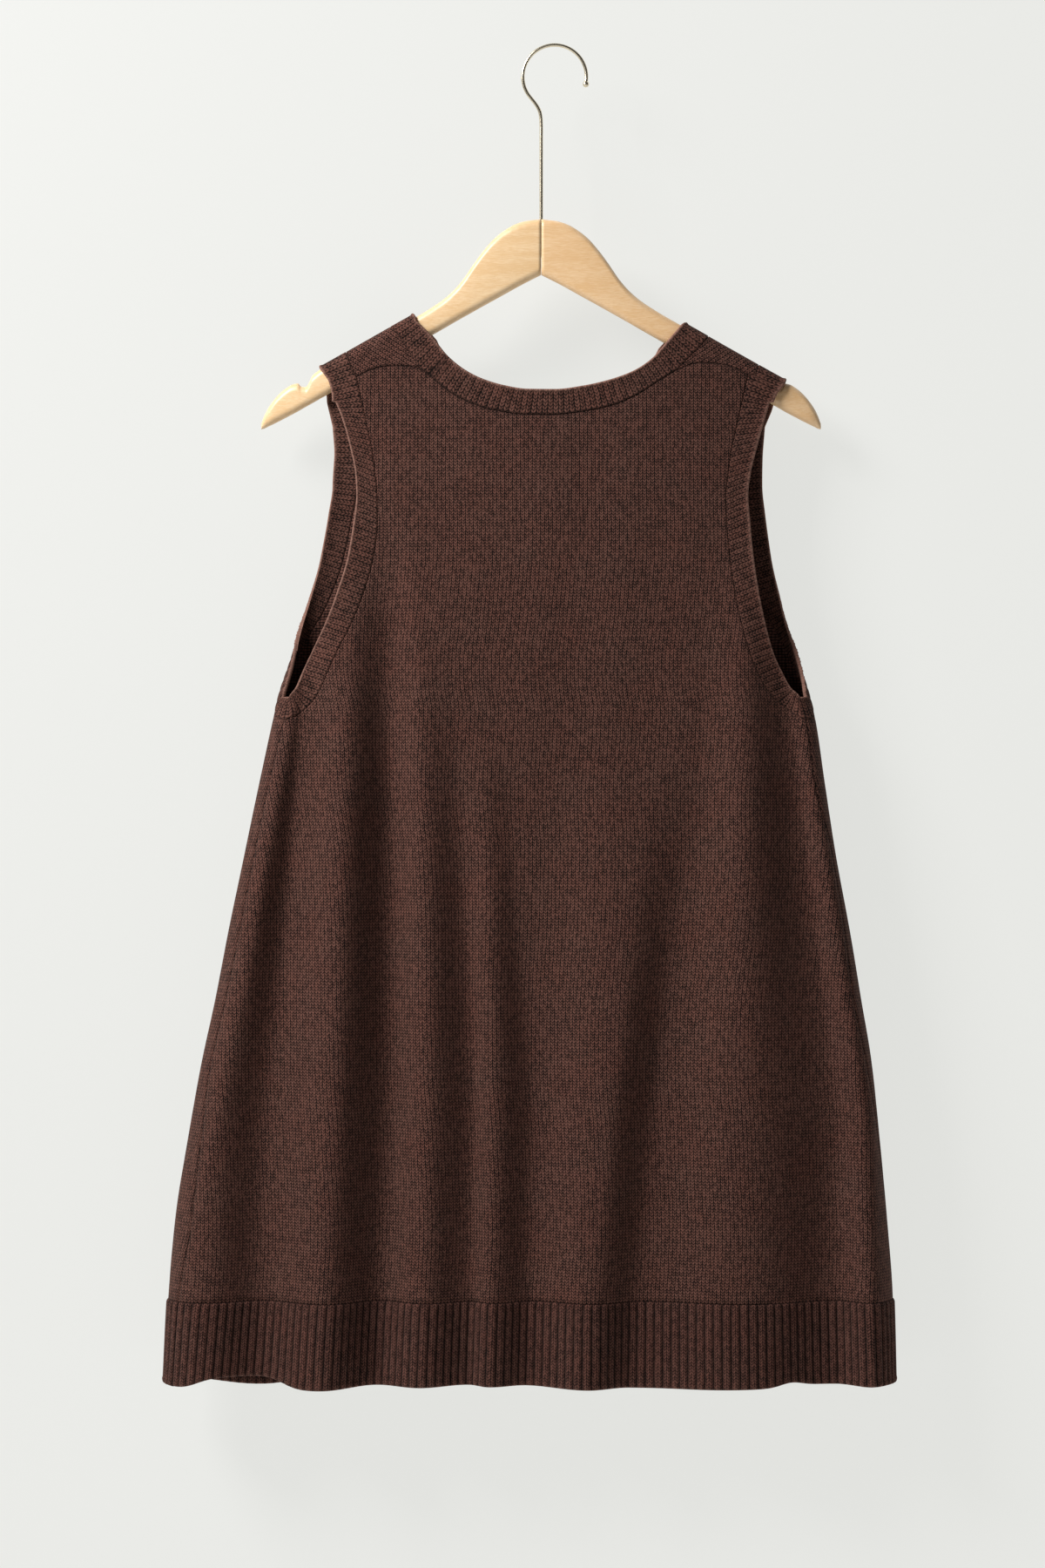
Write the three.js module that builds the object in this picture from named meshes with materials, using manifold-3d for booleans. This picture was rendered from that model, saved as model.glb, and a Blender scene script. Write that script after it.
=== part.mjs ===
// A knitted vest, a long sleeveless tunic, hung by its shoulders on a flat wooden hanger.
// Millimetres, +Z up. The origin is where a rail touches the inside of the hook.
// The garment's back faces -Y (the near face) and its front faces +Y (the far face).
import * as THREE from "three";
import Module from "manifold-3d";

// ---- driving sizes -----------------------------------------------------------------
const SEAT_X = 1.4;          // the tables' x of the hook's crest, moved to 0 at the end
const PANEL = 2.2;           // thickness of the plain knit
const RIB = 3.0;             // thickness of the ribbed bands and hems
const SEAM = 0.22;           // each piece stops this far short of its seam line
const ROUND = 26;            // width over which the cloth turns in to its side outline
const ARM_X = -9.2;          // centre of the hanger
const ARM_HALF = 5.5;        // half the thickness of a hanger arm
const SWEEP = 18;            // how far the arms' ends sweep back
const SPAN = 222;            // from the hanger's centre to an arm's end
const CLEAR = 2.5;           // from the arm's skin to the middle of the cloth on it
const TURN = 8.7;            // depth over which the cloth turns over the arm
const HEM_TOP = -986, HEM_LOW = -1052, UNDERARM = -531, V_LOW = -425;

const lerp = (a, b, t) => a + (b - a) * t;
const table = (names, rows) => Object.fromEntries(names.split(" ").map((name, i) => [name, rows.map((row) => row[i])]));

// A smooth curve through a table's rows, without overshoot, level beyond its ends.
function along(keys, values) {
  const order = keys.map((_, i) => i).sort((i, j) => keys[i] - keys[j]);
  const k = order.map((i) => keys[i]), v = order.map((i) => values[i]), last = k.length - 1;
  const rise = k.slice(1).map((key, i) => (v[i + 1] - v[i]) / (key - k[i]));
  const slope = v.map((_, i) => {
    if (i === 0 || i === last) return rise[Math.min(i, last - 1)];
    return rise[i - 1] * rise[i] <= 0 ? 0 : (2 * rise[i - 1] * rise[i]) / (rise[i - 1] + rise[i]);
  });
  return (key) => {
    if (key <= k[0]) return v[0];
    if (key >= k[last]) return v[last];
    let i = 0;
    while (key > k[i + 1]) i++;
    const w = k[i + 1] - k[i], t = (key - k[i]) / w;
    return v[i] * (1 + 2 * t) * (1 - t) ** 2 + v[i + 1] * t * t * (3 - 2 * t)
      + w * t * (1 - t) * (slope[i] * (1 - t) - slope[i + 1] * t);
  };
}

// ---- the hanger's profile ------------------------------------------------------------
// out: distance from the hanger's centre; top and low: its upper and lower edges.
const ARM = table("out top low", [
  [0, -136, -180], [12, -137.4, -186], [20.6, -140, -190.6], [29, -144.8, -195.3], [37, -151.2, -199.7],
  [45.3, -160.5, -204.2], [53.5, -171.5, -208.8], [61.8, -183.6, -213.4], [70, -192.8, -218],
  [78, -199.6, -222.6], [86, -205, -227.1], [95, -210.5, -232.1], [120, -224.3, -246], [150, -240.9, -262.6],
  [181, -257.8, -279.8], [183.2, -262.6, -281], [186.4, -266.8, -282.7], [189.8, -266.6, -284.6],
  [192.6, -264, -286.2], [196.5, -264.6, -288.2], [202, -267.6, -291], [208, -272.6, -294],
  [213, -278.4, -296.4], [217, -284.2, -298.2], [220, -290.4, -299.6], [221.8, -295.4, -299.9],
]);
const shoulder = along([0, 53.5, 61.8, 70, 78, 86, 95, 120, 150, 181, 230], [-136, -171.5, -183.6, -192.8, -199.6, -205, -210.5, -224.3, -240.9, -257.8, -284]);
const sweep = (x) => SWEEP * (Math.min(Math.abs(x - ARM_X), SPAN) / SPAN) ** 2;

// ---- the garment's shape ---------------------------------------------------------------
// Level sections of the body: side outlines, how far in from them the side seams lie on
// the near face, and how far the near and far faces stand from the garment's middle.
const BODY = table("z left right leftSeam rightSeam near far", [
  [-250, -217, 211, 0, 0, 7.8, 7.8], [-276, -208, 205, 0, 0, 8, 7.8], [-298, -192, 184, 0, 0, 9, 8.2],
  [-323, -185, 175.5, 0, 0, 10.5, 9.5], [-345, -184, 175, 0, 0, 12, 10.5], [-367, -187, 177, 0, 0, 13, 11.5],
  [-402, -192, 182, 0, 0, 15, 13], [-440, -197, 187.5, 0, 0, 17, 15], [-460, -199.9, 189, 0, 0, 18, 16],
  [-478, -204.4, 192, 0, 0, 19, 16.5], [-512, -215.6, 201.8, 9.4, 7.8, 20, 17], [-531, -220, 206.4, 9.4, 7.8, 20.5, 17.4],
  [-581, -230.7, 213.6, 8.4, 8.2, 21.5, 18], [-637, -242.3, 222.1, 8.6, 3.8, 23, 19], [-697, -254.8, 233.2, 9.8, 5.4, 24, 20],
  [-752, -265.4, 242.3, 9.2, 7.4, 25, 21], [-801, -276, 250.4, 8.6, 5.6, 26, 22], [-856, -285.9, 256.2, 11.8, 2.4, 27, 23],
  [-923, -296.6, 262.4, 14.6, 0.6, 28, 24], [-984, -302, 267, 10, 0.3, 29, 25], [-1056, -305.6, 268.8, 8.6, 0.3, 30, 26],
]);
const outline = { "-1": along(BODY.z, BODY.left), 1: along(BODY.z, BODY.right) };
const seamInset = { "-1": along(BODY.z, BODY.leftSeam), 1: along(BODY.z, BODY.rightSeam) };
const standOff = { near: along(BODY.z, BODY.near), far: along(BODY.z, BODY.far) };

// Hanging folds. x: where each runs at its start, at z -838 and at the hem; push: how far it
// moves the cloth toward +Y at the hem, so that a near crest and a far hollow are negative.
const NEAR_FOLDS = table("x z xMid xLow push", [
  [-204, -500, -262, -272, -4], [-188, -430, -224, -230, 12], [-158, -410, -172, -180, -13], [-128, -350, -130, -139, 13],
  [-104, -430, -97, -102, -8], [-76, -510, -62, -66, 7], [-54, -550, -46, -50, -5], [-34, -545, -14, -20, 9],
  [74, -540, 44, 26, -11], [114, -560, 80, 60, 8], [146, -400, 152, 148, -12], [172, -410, 221, 222, 12],
  [198, -520, 250, 250, -6],
]);
const FAR_FOLDS = table("x z xMid xLow push", [
  [-186, -500, -216, -228, -7], [-150, -440, -172, -178, 11], [-122, -470, -128, -131, -8], [-70, -540, -66, -72, 8],
  [-18, -560, -8, -12, -7], [34, -500, 48, 52, 12], [84, -560, 96, 99, -8], [132, -450, 150, 151, 10],
  [164, -480, 196, 199, -8], [190, -560, 238, 240, 6],
]);
function foldOf(folds, x, z) {
  const lines = folds.x.map((_, i) => {
    const down = Math.max(0, folds.z[i] - z);
    const at = z > -838 ? lerp(folds.x[i], folds.xMid[i], down / (folds.z[i] + 838)) : lerp(folds.xMid[i], folds.xLow[i], (-838 - z) / 212);
    return [at, folds.push[i] * Math.sin(Math.PI / 2 * Math.min(1, down / 300))];
  });
  const rows = [[outline[-1](z), 0], ...lines, [outline[1](z), 0]];
  let i = 0;
  while (i < rows.length - 2 && x > rows[i + 1][0]) i++;
  const t = Math.min(1, Math.max(0, (x - rows[i][0]) / (rows[i + 1][0] - rows[i][0])));
  return lerp(rows[i][1], rows[i + 1][1], (1 - Math.cos(Math.PI * t)) / 2);
}

// The cloth's middle surface is one closed pillow. A place on it is either
//   side: edge -1 or 1, s along the cloth from that outline (positive on the near face), z
//   top:  x, q along the cloth from the fold over the arm (positive on the near face)
const TURN_ARC = Math.PI / 2 * Math.sqrt((TURN ** 2 + 7.8 ** 2) / 2);
const ridge = (x) => shoulder(Math.abs(x - ARM_X)) + CLEAR;
const face = (sign) => (sign > 0 ? "near" : "far");
const sideArc = (sign, z) => Math.PI / 2 * Math.sqrt((ROUND ** 2 + standOff[face(sign)](z) ** 2) / 2);
const side = (edge, s, z) => ({ edge, s, z });
const top = (x, q) => ({ x, q });
const isTop = (place) => place.q !== undefined;

function elevation(place) {       // a place as x, z, which face, and how far it stands out
  if (isTop(place)) {
    const turn = Math.min(1, Math.abs(place.q) / TURN_ARC) * Math.PI / 2;
    const z = ridge(place.x) - TURN * (1 - Math.cos(turn)) - Math.max(0, Math.abs(place.q) - TURN_ARC);
    return { x: place.x, z, sign: Math.sign(place.q) || 1, out: Math.sin(turn) };
  }
  const sign = Math.sign(place.s) || 1, arc = sideArc(sign, place.z);
  const turn = Math.min(1, Math.abs(place.s) / arc) * Math.PI / 2;
  const inset = ROUND * (1 - Math.cos(turn)) + Math.max(0, Math.abs(place.s) - arc);
  const x = outline[place.edge](place.z) - place.edge * inset;
  const under = Math.max(0, 1 - Math.max(0, ridge(x) - place.z) / TURN);
  return { x, z: place.z, sign, out: Math.sin(turn) * Math.sqrt(1 - under ** 2) };
}
function point(place) {
  const { x, z, sign, out } = elevation(place);
  const back = THREE.MathUtils.smoothstep(z, -640, -270) * sweep(x);
  const stand = standOff[face(sign)](z) * sign - foldOf(sign > 0 ? NEAR_FOLDS : FAR_FOLDS, x, z);
  return new THREE.Vector3(x, back - stand * out, z);
}
function normal(place) {
  const step = 0.05, move = (key, by) => point({ ...place, [key]: place[key] + by });
  const [a, b] = isTop(place) ? ["q", "x"] : ["s", "z"];
  const u = move(a, step).sub(move(a, -step)), v = move(b, step).sub(move(b, -step));
  return u.cross(v).multiplyScalar(isTop(place) ? 1 : -place.edge).normalize();
}

// The same place in the other pair of coordinates, and the place at an x and z.
function arcFrom(inset, sign, z) {
  const arc = sideArc(sign, z);
  return inset < ROUND ? arc * Math.acos(1 - inset / ROUND) / (Math.PI / 2) : arc + inset - ROUND;
}
function at(x, z, sign = 1, edge = x < ARM_X ? -1 : 1) {
  return side(edge, sign * arcFrom(Math.max(0, edge * (outline[edge](z) - x)), sign, z), z);
}
function asTop(place) {
  if (isTop(place)) return place;
  const { x, z, sign } = elevation(place), drop = ridge(x) - z;
  return top(x, sign * (drop < TURN ? TURN_ARC * Math.acos(1 - drop / TURN) / (Math.PI / 2) : TURN_ARC + drop - TURN));
}
function asSide(place, edge) {
  if (!isTop(place) && place.edge === edge) return place;
  const { x, z, sign } = elevation(place);
  return at(x, z, sign, edge);
}
function between(a, b, t) {
  if (isTop(a) || isTop(b)) {
    const p = asTop(a), r = asTop(b);
    return top(lerp(p.x, r.x, t), lerp(p.q, r.q, t));
  }
  const r = asSide(b, a.edge);
  return side(a.edge, lerp(a.s, r.s, t), lerp(a.z, r.z, t));
}

// ---- seam lines and free edges ----------------------------------------------------------
// Armholes, near face: x of the band's free edge and of its seam.
const HOLE_NEAR = table("z leftEdge leftSeam rightEdge rightSeam", [
  [-276, -173, -151, 172.1, 151.2], [-292, -166.3, -147.4, 167.4, 146.8], [-315, -159.7, -142.6, 160.9, 141.2],
  [-338, -155.2, -139.5, 155.3, 138], [-354, -154.4, -138, 153.5, 136.4], [-375, -156.7, -137.8, 155, 136.9],
  [-402, -161.1, -141, 157.4, 139.3], [-433, -170.3, -149.5, 162, 143.5], [-455, -178.5, -158, 166.3, 148],
  [-479, -189.7, -169.8, 173, 154.6], [-494, -197, -176.6, 180.2, 160.5], [-505, -201.6, -181.4, 186.6, 166.4],
  [-513, -206, -186, 193.4, 172.8], [-520, -206, -192, 193.4, 181], [-527, -206, -201, 193.4, 190.4], [-531, -206, -210.6, 193.4, 198.6],
]);
// Armholes, far face: the same along the cloth from the outline, negative where the cloth
// has already come round to the near face.
const HOLE_FAR = table("z leftEdge leftSeam rightEdge rightSeam", [
  [-276, 35, 54, 37, 57], [-298, 24, 43, 22.5, 43], [-323, 19.6, 37, 17, 36], [-345, 17.7, 34.5, 17, 34.5],
  [-367, 17.8, 34, 17, 34], [-402, 16.8, 32.5, 17.5, 34], [-440, 10.2, 26, 14.7, 29], [-460, 2, 18, 9.5, 21],
  [-478, -8.4, 9.5, 1, 13.5], [-499, -13.2, 5, -8, 6.6], [-513, -14, 2.6, -13, 3.6], [-520, -14, 0, -13, 0.6],
  [-527, -14, -6, -13, -5.4], [-531, -14, -13.6, -13, -12.2],
]);
const hole = (edge, name, sign) => {
  const rows = sign > 0 ? HOLE_NEAR : HOLE_FAR, line = along(rows.z, rows[(edge < 0 ? "left" : "right") + name]);
  return (z) => (sign > 0 ? at(line(z), z, 1, edge) : side(edge, -line(z), z));
};
// Over the arm: x of the armhole's and neck's edges and seams, along q.
const OVER = table("q leftEdge leftSeam leftNeckSeam leftNeck rightNeck rightNeckSeam rightSeam rightEdge", [
  [-34, -178.8, -159.5, -110, -92, 84, 103, 160, 173.4], [-18, -180, -161, -119, -101, 94, 113, 161.6, 178],
  [-6, -183.4, -162.6, -126, -108, 103, 121, 162.4, 183.6], [0, -184.4, -163, -128, -109.7, 104.6, 122.5, 162.6, 184.6],
  [6, -183.4, -162.4, -126.4, -108.4, 103.8, 121.4, 162, 183.8], [12, -180.4, -160.6, -122.6, -105.4, 101.6, 118.4, 160.4, 181],
  [20, -176.6, -157.4, -118.6, -101.4, 98.6, 114.6, 157.4, 176.6], [32, -174, -153, -113, -96, 94, 109, 153, 173],
]);
const over = Object.fromEntries(Object.keys(OVER).map((name) => [name, along(OVER.q, OVER[name])]));
// The back neckline and its band's seam, and the two shoulder seams, all on the near face.
const NECK = table("x edge", [
  [-107.5, -216.6], [-96.1, -228.1], [-81.9, -245.4], [-67.7, -256.4], [-55, -262.7], [-39, -267.6], [-20, -270.6],
  [2, -270.8], [24, -268], [44, -263.4], [63, -256.4], [77.3, -247], [90, -232.8], [99.6, -221.7],
]);
const NECK_SEAM = table("x seam", [
  [-105, -253.6], [-93.7, -262.4], [-81.9, -272], [-67.7, -280], [-48.8, -286.6], [-23.6, -290.4], [0, -290.8],
  [23.8, -288.2], [47.4, -283], [67.9, -273.8], [83.6, -263.4], [98, -254.6],
]);
const SHOULDER_SEAM = table("x seam", [
  [-154.5, -260.4], [-148.5, -256.9], [-136.6, -253], [-124.6, -251.6], [-113, -252.2], [-105, -253.6],
  [98, -254.6], [105.8, -251.6], [116.3, -249], [131.2, -249.8], [144.6, -253.2], [154, -258.6],
]);
const panelTop = (x) => (x < -105 || x > 98 ? along(SHOULDER_SEAM.x, SHOULDER_SEAM.seam)(x) : along(NECK_SEAM.x, NECK_SEAM.seam)(x));
const span = (from, to, count) => Array.from({ length: count + 1 }, (_, i) => lerp(from, to, i / count));

// ---- cutting and sewing ------------------------------------------------------------------
// A sheet is made of grids of places, and each sheet becomes one solid of even thickness.
// Its outer rows and columns stop SEAM short of the seam lines that it shares.
function sheet(grids, thickness) {
  const points = [], normals = [], index = new Map(), quads = [];
  for (const grid of grids) {
    const ids = grid.map((row) => row.map((place) => {
      const p = point(place), key = p.toArray().map((value) => Math.round(value * 50)).join();
      if (!index.has(key)) { index.set(key, points.length); points.push(p); normals.push(normal(place)); }
      return index.get(key);
    }));
    for (let r = 0; r + 1 < ids.length; r++) {
      for (let c = 0; c + 1 < ids[r].length; c++) {
        const corners = [ids[r][c], ids[r][c + 1], ids[r + 1][c + 1], ids[r + 1][c]];
        const quad = corners.filter((id, i) => id !== corners[(i + 1) % 4]);
        if (quad.length > 2) quads.push(quad);
      }
    }
  }
  // The grids are turned so that every face looks the way its places' normals do.
  const facing = quads.reduce((sum, [a, b, c]) => {
    const n = points[b].clone().sub(points[a]).cross(points[c].clone().sub(points[a]));
    return sum + n.dot(normals[a]);
  }, 0);
  if (facing < 0) quads.forEach((quad) => quad.reverse());
  const open = new Map();
  for (const quad of quads) quad.forEach((a, i) => {
    const b = quad[(i + 1) % quad.length];
    if (!open.delete(b + "," + a)) open.set(a + "," + b, [a, b]);
  });
  const rim = [...open.values()], inward = new Map(rim.flat().map((id) => [id, new THREE.Vector3()]));
  for (const [a, b] of rim) {                    // straight in from the edges, in the cloth
    const edge = points[b].clone().sub(points[a]).normalize();
    for (const id of [a, b]) inward.get(id).add(normals[id].clone().cross(edge).normalize());
  }
  const moved = points.map((p, id) => (inward.has(id) ? p.clone().addScaledVector(inward.get(id).normalize(), SEAM) : p));
  const position = [], corners = [], count = points.length;
  for (const way of [1, -1]) moved.forEach((p, id) => position.push(...p.clone().addScaledVector(normals[id], way * thickness / 2)));
  for (const quad of quads) for (let i = 1; i + 1 < quad.length; i++) {
    corners.push(quad[0], quad[i], quad[i + 1], quad[0] + count, quad[i + 1] + count, quad[i] + count);
  }
  for (const [a, b] of rim) {                    // split the same way on both sides of a seam
    const rising = points[a].z - points[b].z || points[a].x - points[b].x;
    if (rising < 0) corners.push(b, a, a + count, b, a + count, b + count);
    else corners.push(b, a, b + count, a, a + count, b + count);
  }
  return solid(position, corners);
}
function solid(position, corners) {
  const geometry = new THREE.BufferGeometry();
  geometry.setAttribute("position", new THREE.Float32BufferAttribute(position, 3));
  geometry.setIndex(corners);
  return geometry;
}

// Levels shared by the body pieces' rows, from the hem up.
const LOW_ROWS = [-925, -855, -785, -720, -655, -595, -558, UNDERARM];
const seamSide = (edge, z) => side(edge, arcFrom(seamInset[edge](z), 1, z), z);
const farWidth = (z) => outline[1](z) - outline[-1](z) - 2 * ROUND + 2 * sideArc(-1, z);
const nearWidth = (z) => outline[1](z) - outline[-1](z) - 2 * ROUND + 2 * sideArc(1, z);
// A level row of places, from one on the left to one on the right, round one face.
function levelRow(left, right, sign, count, spread = (f) => f) {
  const width = sign > 0 ? nearWidth(left.z) : farWidth(left.z), from = sign * left.s, to = width - sign * right.s;
  return span(0, 1, count).map((f, i) => {
    if (i === 0) return left;
    if (i === count) return right;
    const along = lerp(from, to, spread(f, i));
    return along < width / 2 ? side(-1, sign * along, left.z) : side(1, sign * (width - along), left.z);
  });
}

// Back panel: level rows up to the chest, then two rows that rise to the neck and shoulders.
const BACK_TOPS = [...span(-154.5, -105, 6), ...span(-105, 98, 20).slice(1), ...span(98, 154, 6).slice(1)];
const BACK_COLUMNS = BACK_TOPS.length - 1;
const topShare = (i) => (BACK_TOPS[i] - BACK_TOPS[0]) / (BACK_TOPS[BACK_COLUMNS] - BACK_TOPS[0]);
const backRow = (z) => {
  const [left, right] = [-1, 1].map((edge) => (z <= UNDERARM ? seamSide(edge, z) : hole(edge, "Seam", 1)(z)));
  const rise = THREE.MathUtils.smoothstep(z, -900, -400);
  return levelRow(left, right, 1, BACK_COLUMNS, (f, i) => lerp(f, topShare(i), rise));
};
const backLow = backRow(HEM_TOP);
const backChest = backRow(-318);
const backTop = BACK_TOPS.map((x) => at(x, panelTop(x)));
const backRows = [backLow, ...[...LOW_ROWS, -527, -520, -512, -494, -468, -438, -405, -372, -344].map(backRow), backChest,
  backTop.map((place, i) => between(backChest[i], place, 0.55)), backTop];

// Front panel: level rows up to the foot of the V, then a strap on each side that goes over
// the arm and down the near face to the shoulder seam.
const HALF = 14;
const farRow = (z) => levelRow(...[-1, 1].map((edge) => (z <= UNDERARM ? seamSide(edge, z) : hole(edge, "Seam", -1)(z))), -1, 2 * HALF);
const frontLow = farRow(HEM_TOP);
const frontFoot = farRow(V_LOW);
const foot = elevation(frontFoot[HALF]);
const V_NAMES = { "-1": ["leftNeck", "leftNeckSeam", "leftSeam", "leftEdge"], 1: ["rightNeck", "rightNeckSeam", "rightSeam", "rightEdge"] };
function vee(edge, z, lift = 0) {  // x of the V's line at a height; lift raises its foot to the free edge
  const name = V_NAMES[edge][lift ? 0 : 1], start = elevation(top(over[name](-34), -34));
  const t = Math.min(1, (start.z - z) / (start.z - V_LOW - lift));
  return lerp(start.x, foot.x, t) + edge * 5 * Math.sin(Math.PI * t);
}
function strap(edge) {
  const first = edge < 0 ? frontFoot.slice(0, HALF + 1) : frontFoot.slice(HALF).reverse();
  const level = [-402, -374, -346, -320, -298].map((z) => {
    const outer = hole(edge, "Seam", -1)(z), inner = at(vee(edge, z), z, -1, edge);
    return span(0, 1, HALF).map((f) => (f === 1 ? inner : between(outer, inner, f)));
  });
  const names = V_NAMES[edge], turned = [-34, -22, ...[-3, -2, -1, 0, 1, 2, 3].map((third) => third * TURN_ARC / 3)].map((q) =>
    span(0, 1, HALF).map((f) => top(lerp(over[names[2]](q), over[names[1]](q), f), q)));
  const ends = edge < 0 ? [-154.5, -105] : [154, 98];
  const seam = span(0, 1, HALF).map((f) => { const x = lerp(ends[0], ends[1], f); return asTop(at(x, panelTop(x))); });
  const middle = seam.map((place, i) => between(turned.at(-1)[i], place, 0.5));
  return [first, ...level, ...turned, middle, seam];
}
const straps = { "-1": strap(-1), 1: strap(1) };
const frontRows = [frontLow, ...[...LOW_ROWS, -527, -520, -512, -499, -480, -460, -441].map(farRow), frontFoot];

// Hems: the rib's lower edge is level but for two small lifts on the near face.
const lift = (x, centre, wide, high) => high * Math.exp(-(((x - centre) / wide) ** 2));
function hem(row, sign) {
  const low = (place) => {
    const x = elevation(place).x, z = HEM_LOW - 1.2 * Math.sin(x / 47) + (sign > 0 ? lift(x, -283, 12, 5) + lift(x, 186, 12, 3) : 0);
    const ratio = (outline[place.edge](z) - ARM_X) / (outline[place.edge](HEM_TOP) - ARM_X);
    return side(place.edge, place.s * (Math.abs(place.s) > ROUND ? ratio : 1), z);
  };
  return [row, row.map((place) => between(place, low(place), 0.5)), row.map(low)];
}

// Bands: a station at every seam corner of the panels, joined to the free edge at the same
// share of its length.
function band(parts) {
  const rows = parts.flatMap(({ seam, edge }) => {
    const share = shares(seam), free = shares(edge);
    return seam.map((place, i) => {
      let j = 0;
      while (j < free.length - 2 && share[i] > free[j + 1]) j++;
      const open = between(edge[j], edge[j + 1], (share[i] - free[j]) / (free[j + 1] - free[j]));
      return [place, between(place, open, 0.5), open];
    });
  });
  const seen = new Set(), key = (place) => point(place).toArray().map((value) => Math.round(value * 20)).join();
  const ring = rows.filter((row) => !seen.has(key(row[0])) && seen.add(key(row[0])));
  return [[...ring, ring[0]]];
}
function shares(places) {
  const points = places.map(point), sums = [0];
  for (let i = 1; i < points.length; i++) sums.push(sums[i - 1] + points[i].distanceTo(points[i - 1]));
  return sums.map((sum) => sum / sums.at(-1));
}
const column = (rows, i) => rows.map((row) => row.at(i));
function armholeBand(edge) {
  const i = edge < 0 ? 0 : -1, names = V_NAMES[edge], from = LOW_ROWS.length;
  const nearSeam = [...column(backRows.slice(from), i), ...column(straps[edge], 0).slice(-6, -1).reverse()];
  const farSeam = [...column(frontRows.slice(from), i), ...column(straps[edge], 0).slice(1, -5)];
  const levels = [-513, -505, -494, -479, -455, -433, -402, -375, -354, -338, -315, -292, -280];
  const nearEdge = [...levels.map(hole(edge, "Edge", 1)), ...[20, 12, 6, 0].map((q) => top(over[names[3]](q), q))];
  const farLevels = [-513, -499, -478, -460, -440, -402, -367, -345, -323, -298];
  const farEdge = [...farLevels.map(hole(edge, "Edge", -1)), ...[-34, -18, -6, 0].map((q) => top(over[names[3]](q), q))];
  return band([{ seam: nearSeam, edge: nearEdge }, { seam: farSeam.reverse(), edge: farEdge.reverse() }]);
}
function neckBand() {
  const left = column(straps[-1], -1), right = column(straps[1], -1), backNeck = backTop.slice(6, 27);
  const zero = left.length - 6;                       // the row on the fold over the arm
  const nearSeam = [...left.slice(zero, -1), ...backNeck, ...right.slice(zero, -1).reverse()];
  const nearEdge = [top(over.leftNeck(0), 0), ...NECK.x.map((x, i) => at(x, NECK.edge[i])), top(over.rightNeck(0), 0)];
  const lift = 38, free = (edge) => [...[0, -6, -18, -34].map((q) => top(over[V_NAMES[edge][0]](q), q)),
    ...[-300, -330, -360].map((z) => at(vee(edge, z, lift), z, -1, edge)), at(foot.x, V_LOW + lift, -1, edge)];
  return band([{ seam: nearSeam, edge: nearEdge }, { seam: right.slice(0, zero + 1).reverse(), edge: free(1) },
    { seam: left.slice(0, zero + 1), edge: free(-1).reverse() }]);
}

// ---- the hanger ------------------------------------------------------------------------
// An arm is a row of upright sections along x, each a strip with fully rounded edges.
const wasm = await Module();
wasm.setup();
function solidOf(geometry) {
  const index = geometry.index.array, positions = geometry.attributes.position.array;
  return new wasm.Manifold(new wasm.Mesh({ numProp: 3, vertProperties: new Float32Array(positions), triVerts: new Uint32Array(index) }));
}
function geometryOf(manifold) {
  const { vertProperties, triVerts } = manifold.getMesh();
  return solid(Array.from(vertProperties), Array.from(triVerts));
}
function loft(rings) {             // closed rings of equal count, capped flat at both ends
  const count = rings[0].length, position = rings.flat().flatMap((p) => p.toArray()), corners = [];
  for (let r = 0; r + 1 < rings.length; r++) for (let i = 0; i < count; i++) {
    const a = r * count + i, b = r * count + (i + 1) % count;
    corners.push(a, b, b + count, a, b + count, a + count);
  }
  for (let i = 1; i + 1 < count; i++) {
    const end = (rings.length - 1) * count;
    corners.push(0, i + 1, i, end, end + i, end + i + 1);
  }
  return solid(position, corners);
}
function arm(edge, bore) {
  const topEdge = along(ARM.out, ARM.top), lowEdge = along(ARM.out, ARM.low);
  const outs = [0.15, ...ARM.out.slice(1)], sideSteps = 5;
  const rings = outs.map((out, k) => {
    const half = Math.min(ARM_HALF, k < outs.length - 4 ? ARM_HALF : ARM_HALF - 0.5 * (k - outs.length + 5));
    const high = topEdge(out), low = lowEdge(out), round = Math.min(6.6, (high - low) * 0.48), x = ARM_X + edge * out;
    const bend = (angle, z) => new THREE.Vector3(x, sweep(x) + half * Math.sin(angle), z + round * Math.cos(angle));
    const ring = [...span(-Math.PI / 2, Math.PI / 2, 2 * sideSteps).map((angle) => bend(angle, high - round)),
      ...span(Math.PI / 2, 3 * Math.PI / 2, 2 * sideSteps).map((angle) => bend(angle, low + round))];
    return edge > 0 ? ring.reverse() : ring;
  });
  const body = solidOf(loft(rings));
  return geometryOf(body.subtract(bore));
}

// The hook: wire bent down from its ball, over the rail and into the wood.
const WIRE = 1.4, HOOK_R = 23.7 + WIRE, HOOK_Z = -23.7, SHANK_LOW = -166;
function hookPath() {
  const arc = span(-8, 218, 30).map((degrees) => {
    const a = degrees * Math.PI / 180;
    return new THREE.Vector3(SEAT_X + HOOK_R * Math.cos(a), 0, HOOK_Z + HOOK_R * Math.sin(a));
  });
  const neck = [[-13.6, -45.4], [-10.9, -49.8], [-9.5, -55], [ARM_X, -61], [ARM_X, -100], [ARM_X, -140], [ARM_X, SHANK_LOW]];
  return [...arc, ...neck.map(([x, z]) => new THREE.Vector3(x, 0, z))];
}
function tube(path, radii, sides) {
  const across = new THREE.Vector3(0, 1, 0);
  return loft(path.map((p, i) => {
    const ahead = path[Math.min(i + 1, path.length - 1)].clone().sub(path[Math.max(i - 1, 0)]).normalize();
    const out = ahead.clone().cross(across).normalize();
    return span(0, 2 * Math.PI, sides).slice(0, -1).map((angle) => p.clone()
      .addScaledVector(across, radii[i] * Math.cos(angle)).addScaledVector(out, radii[i] * Math.sin(angle)));
  }));
}
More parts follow.
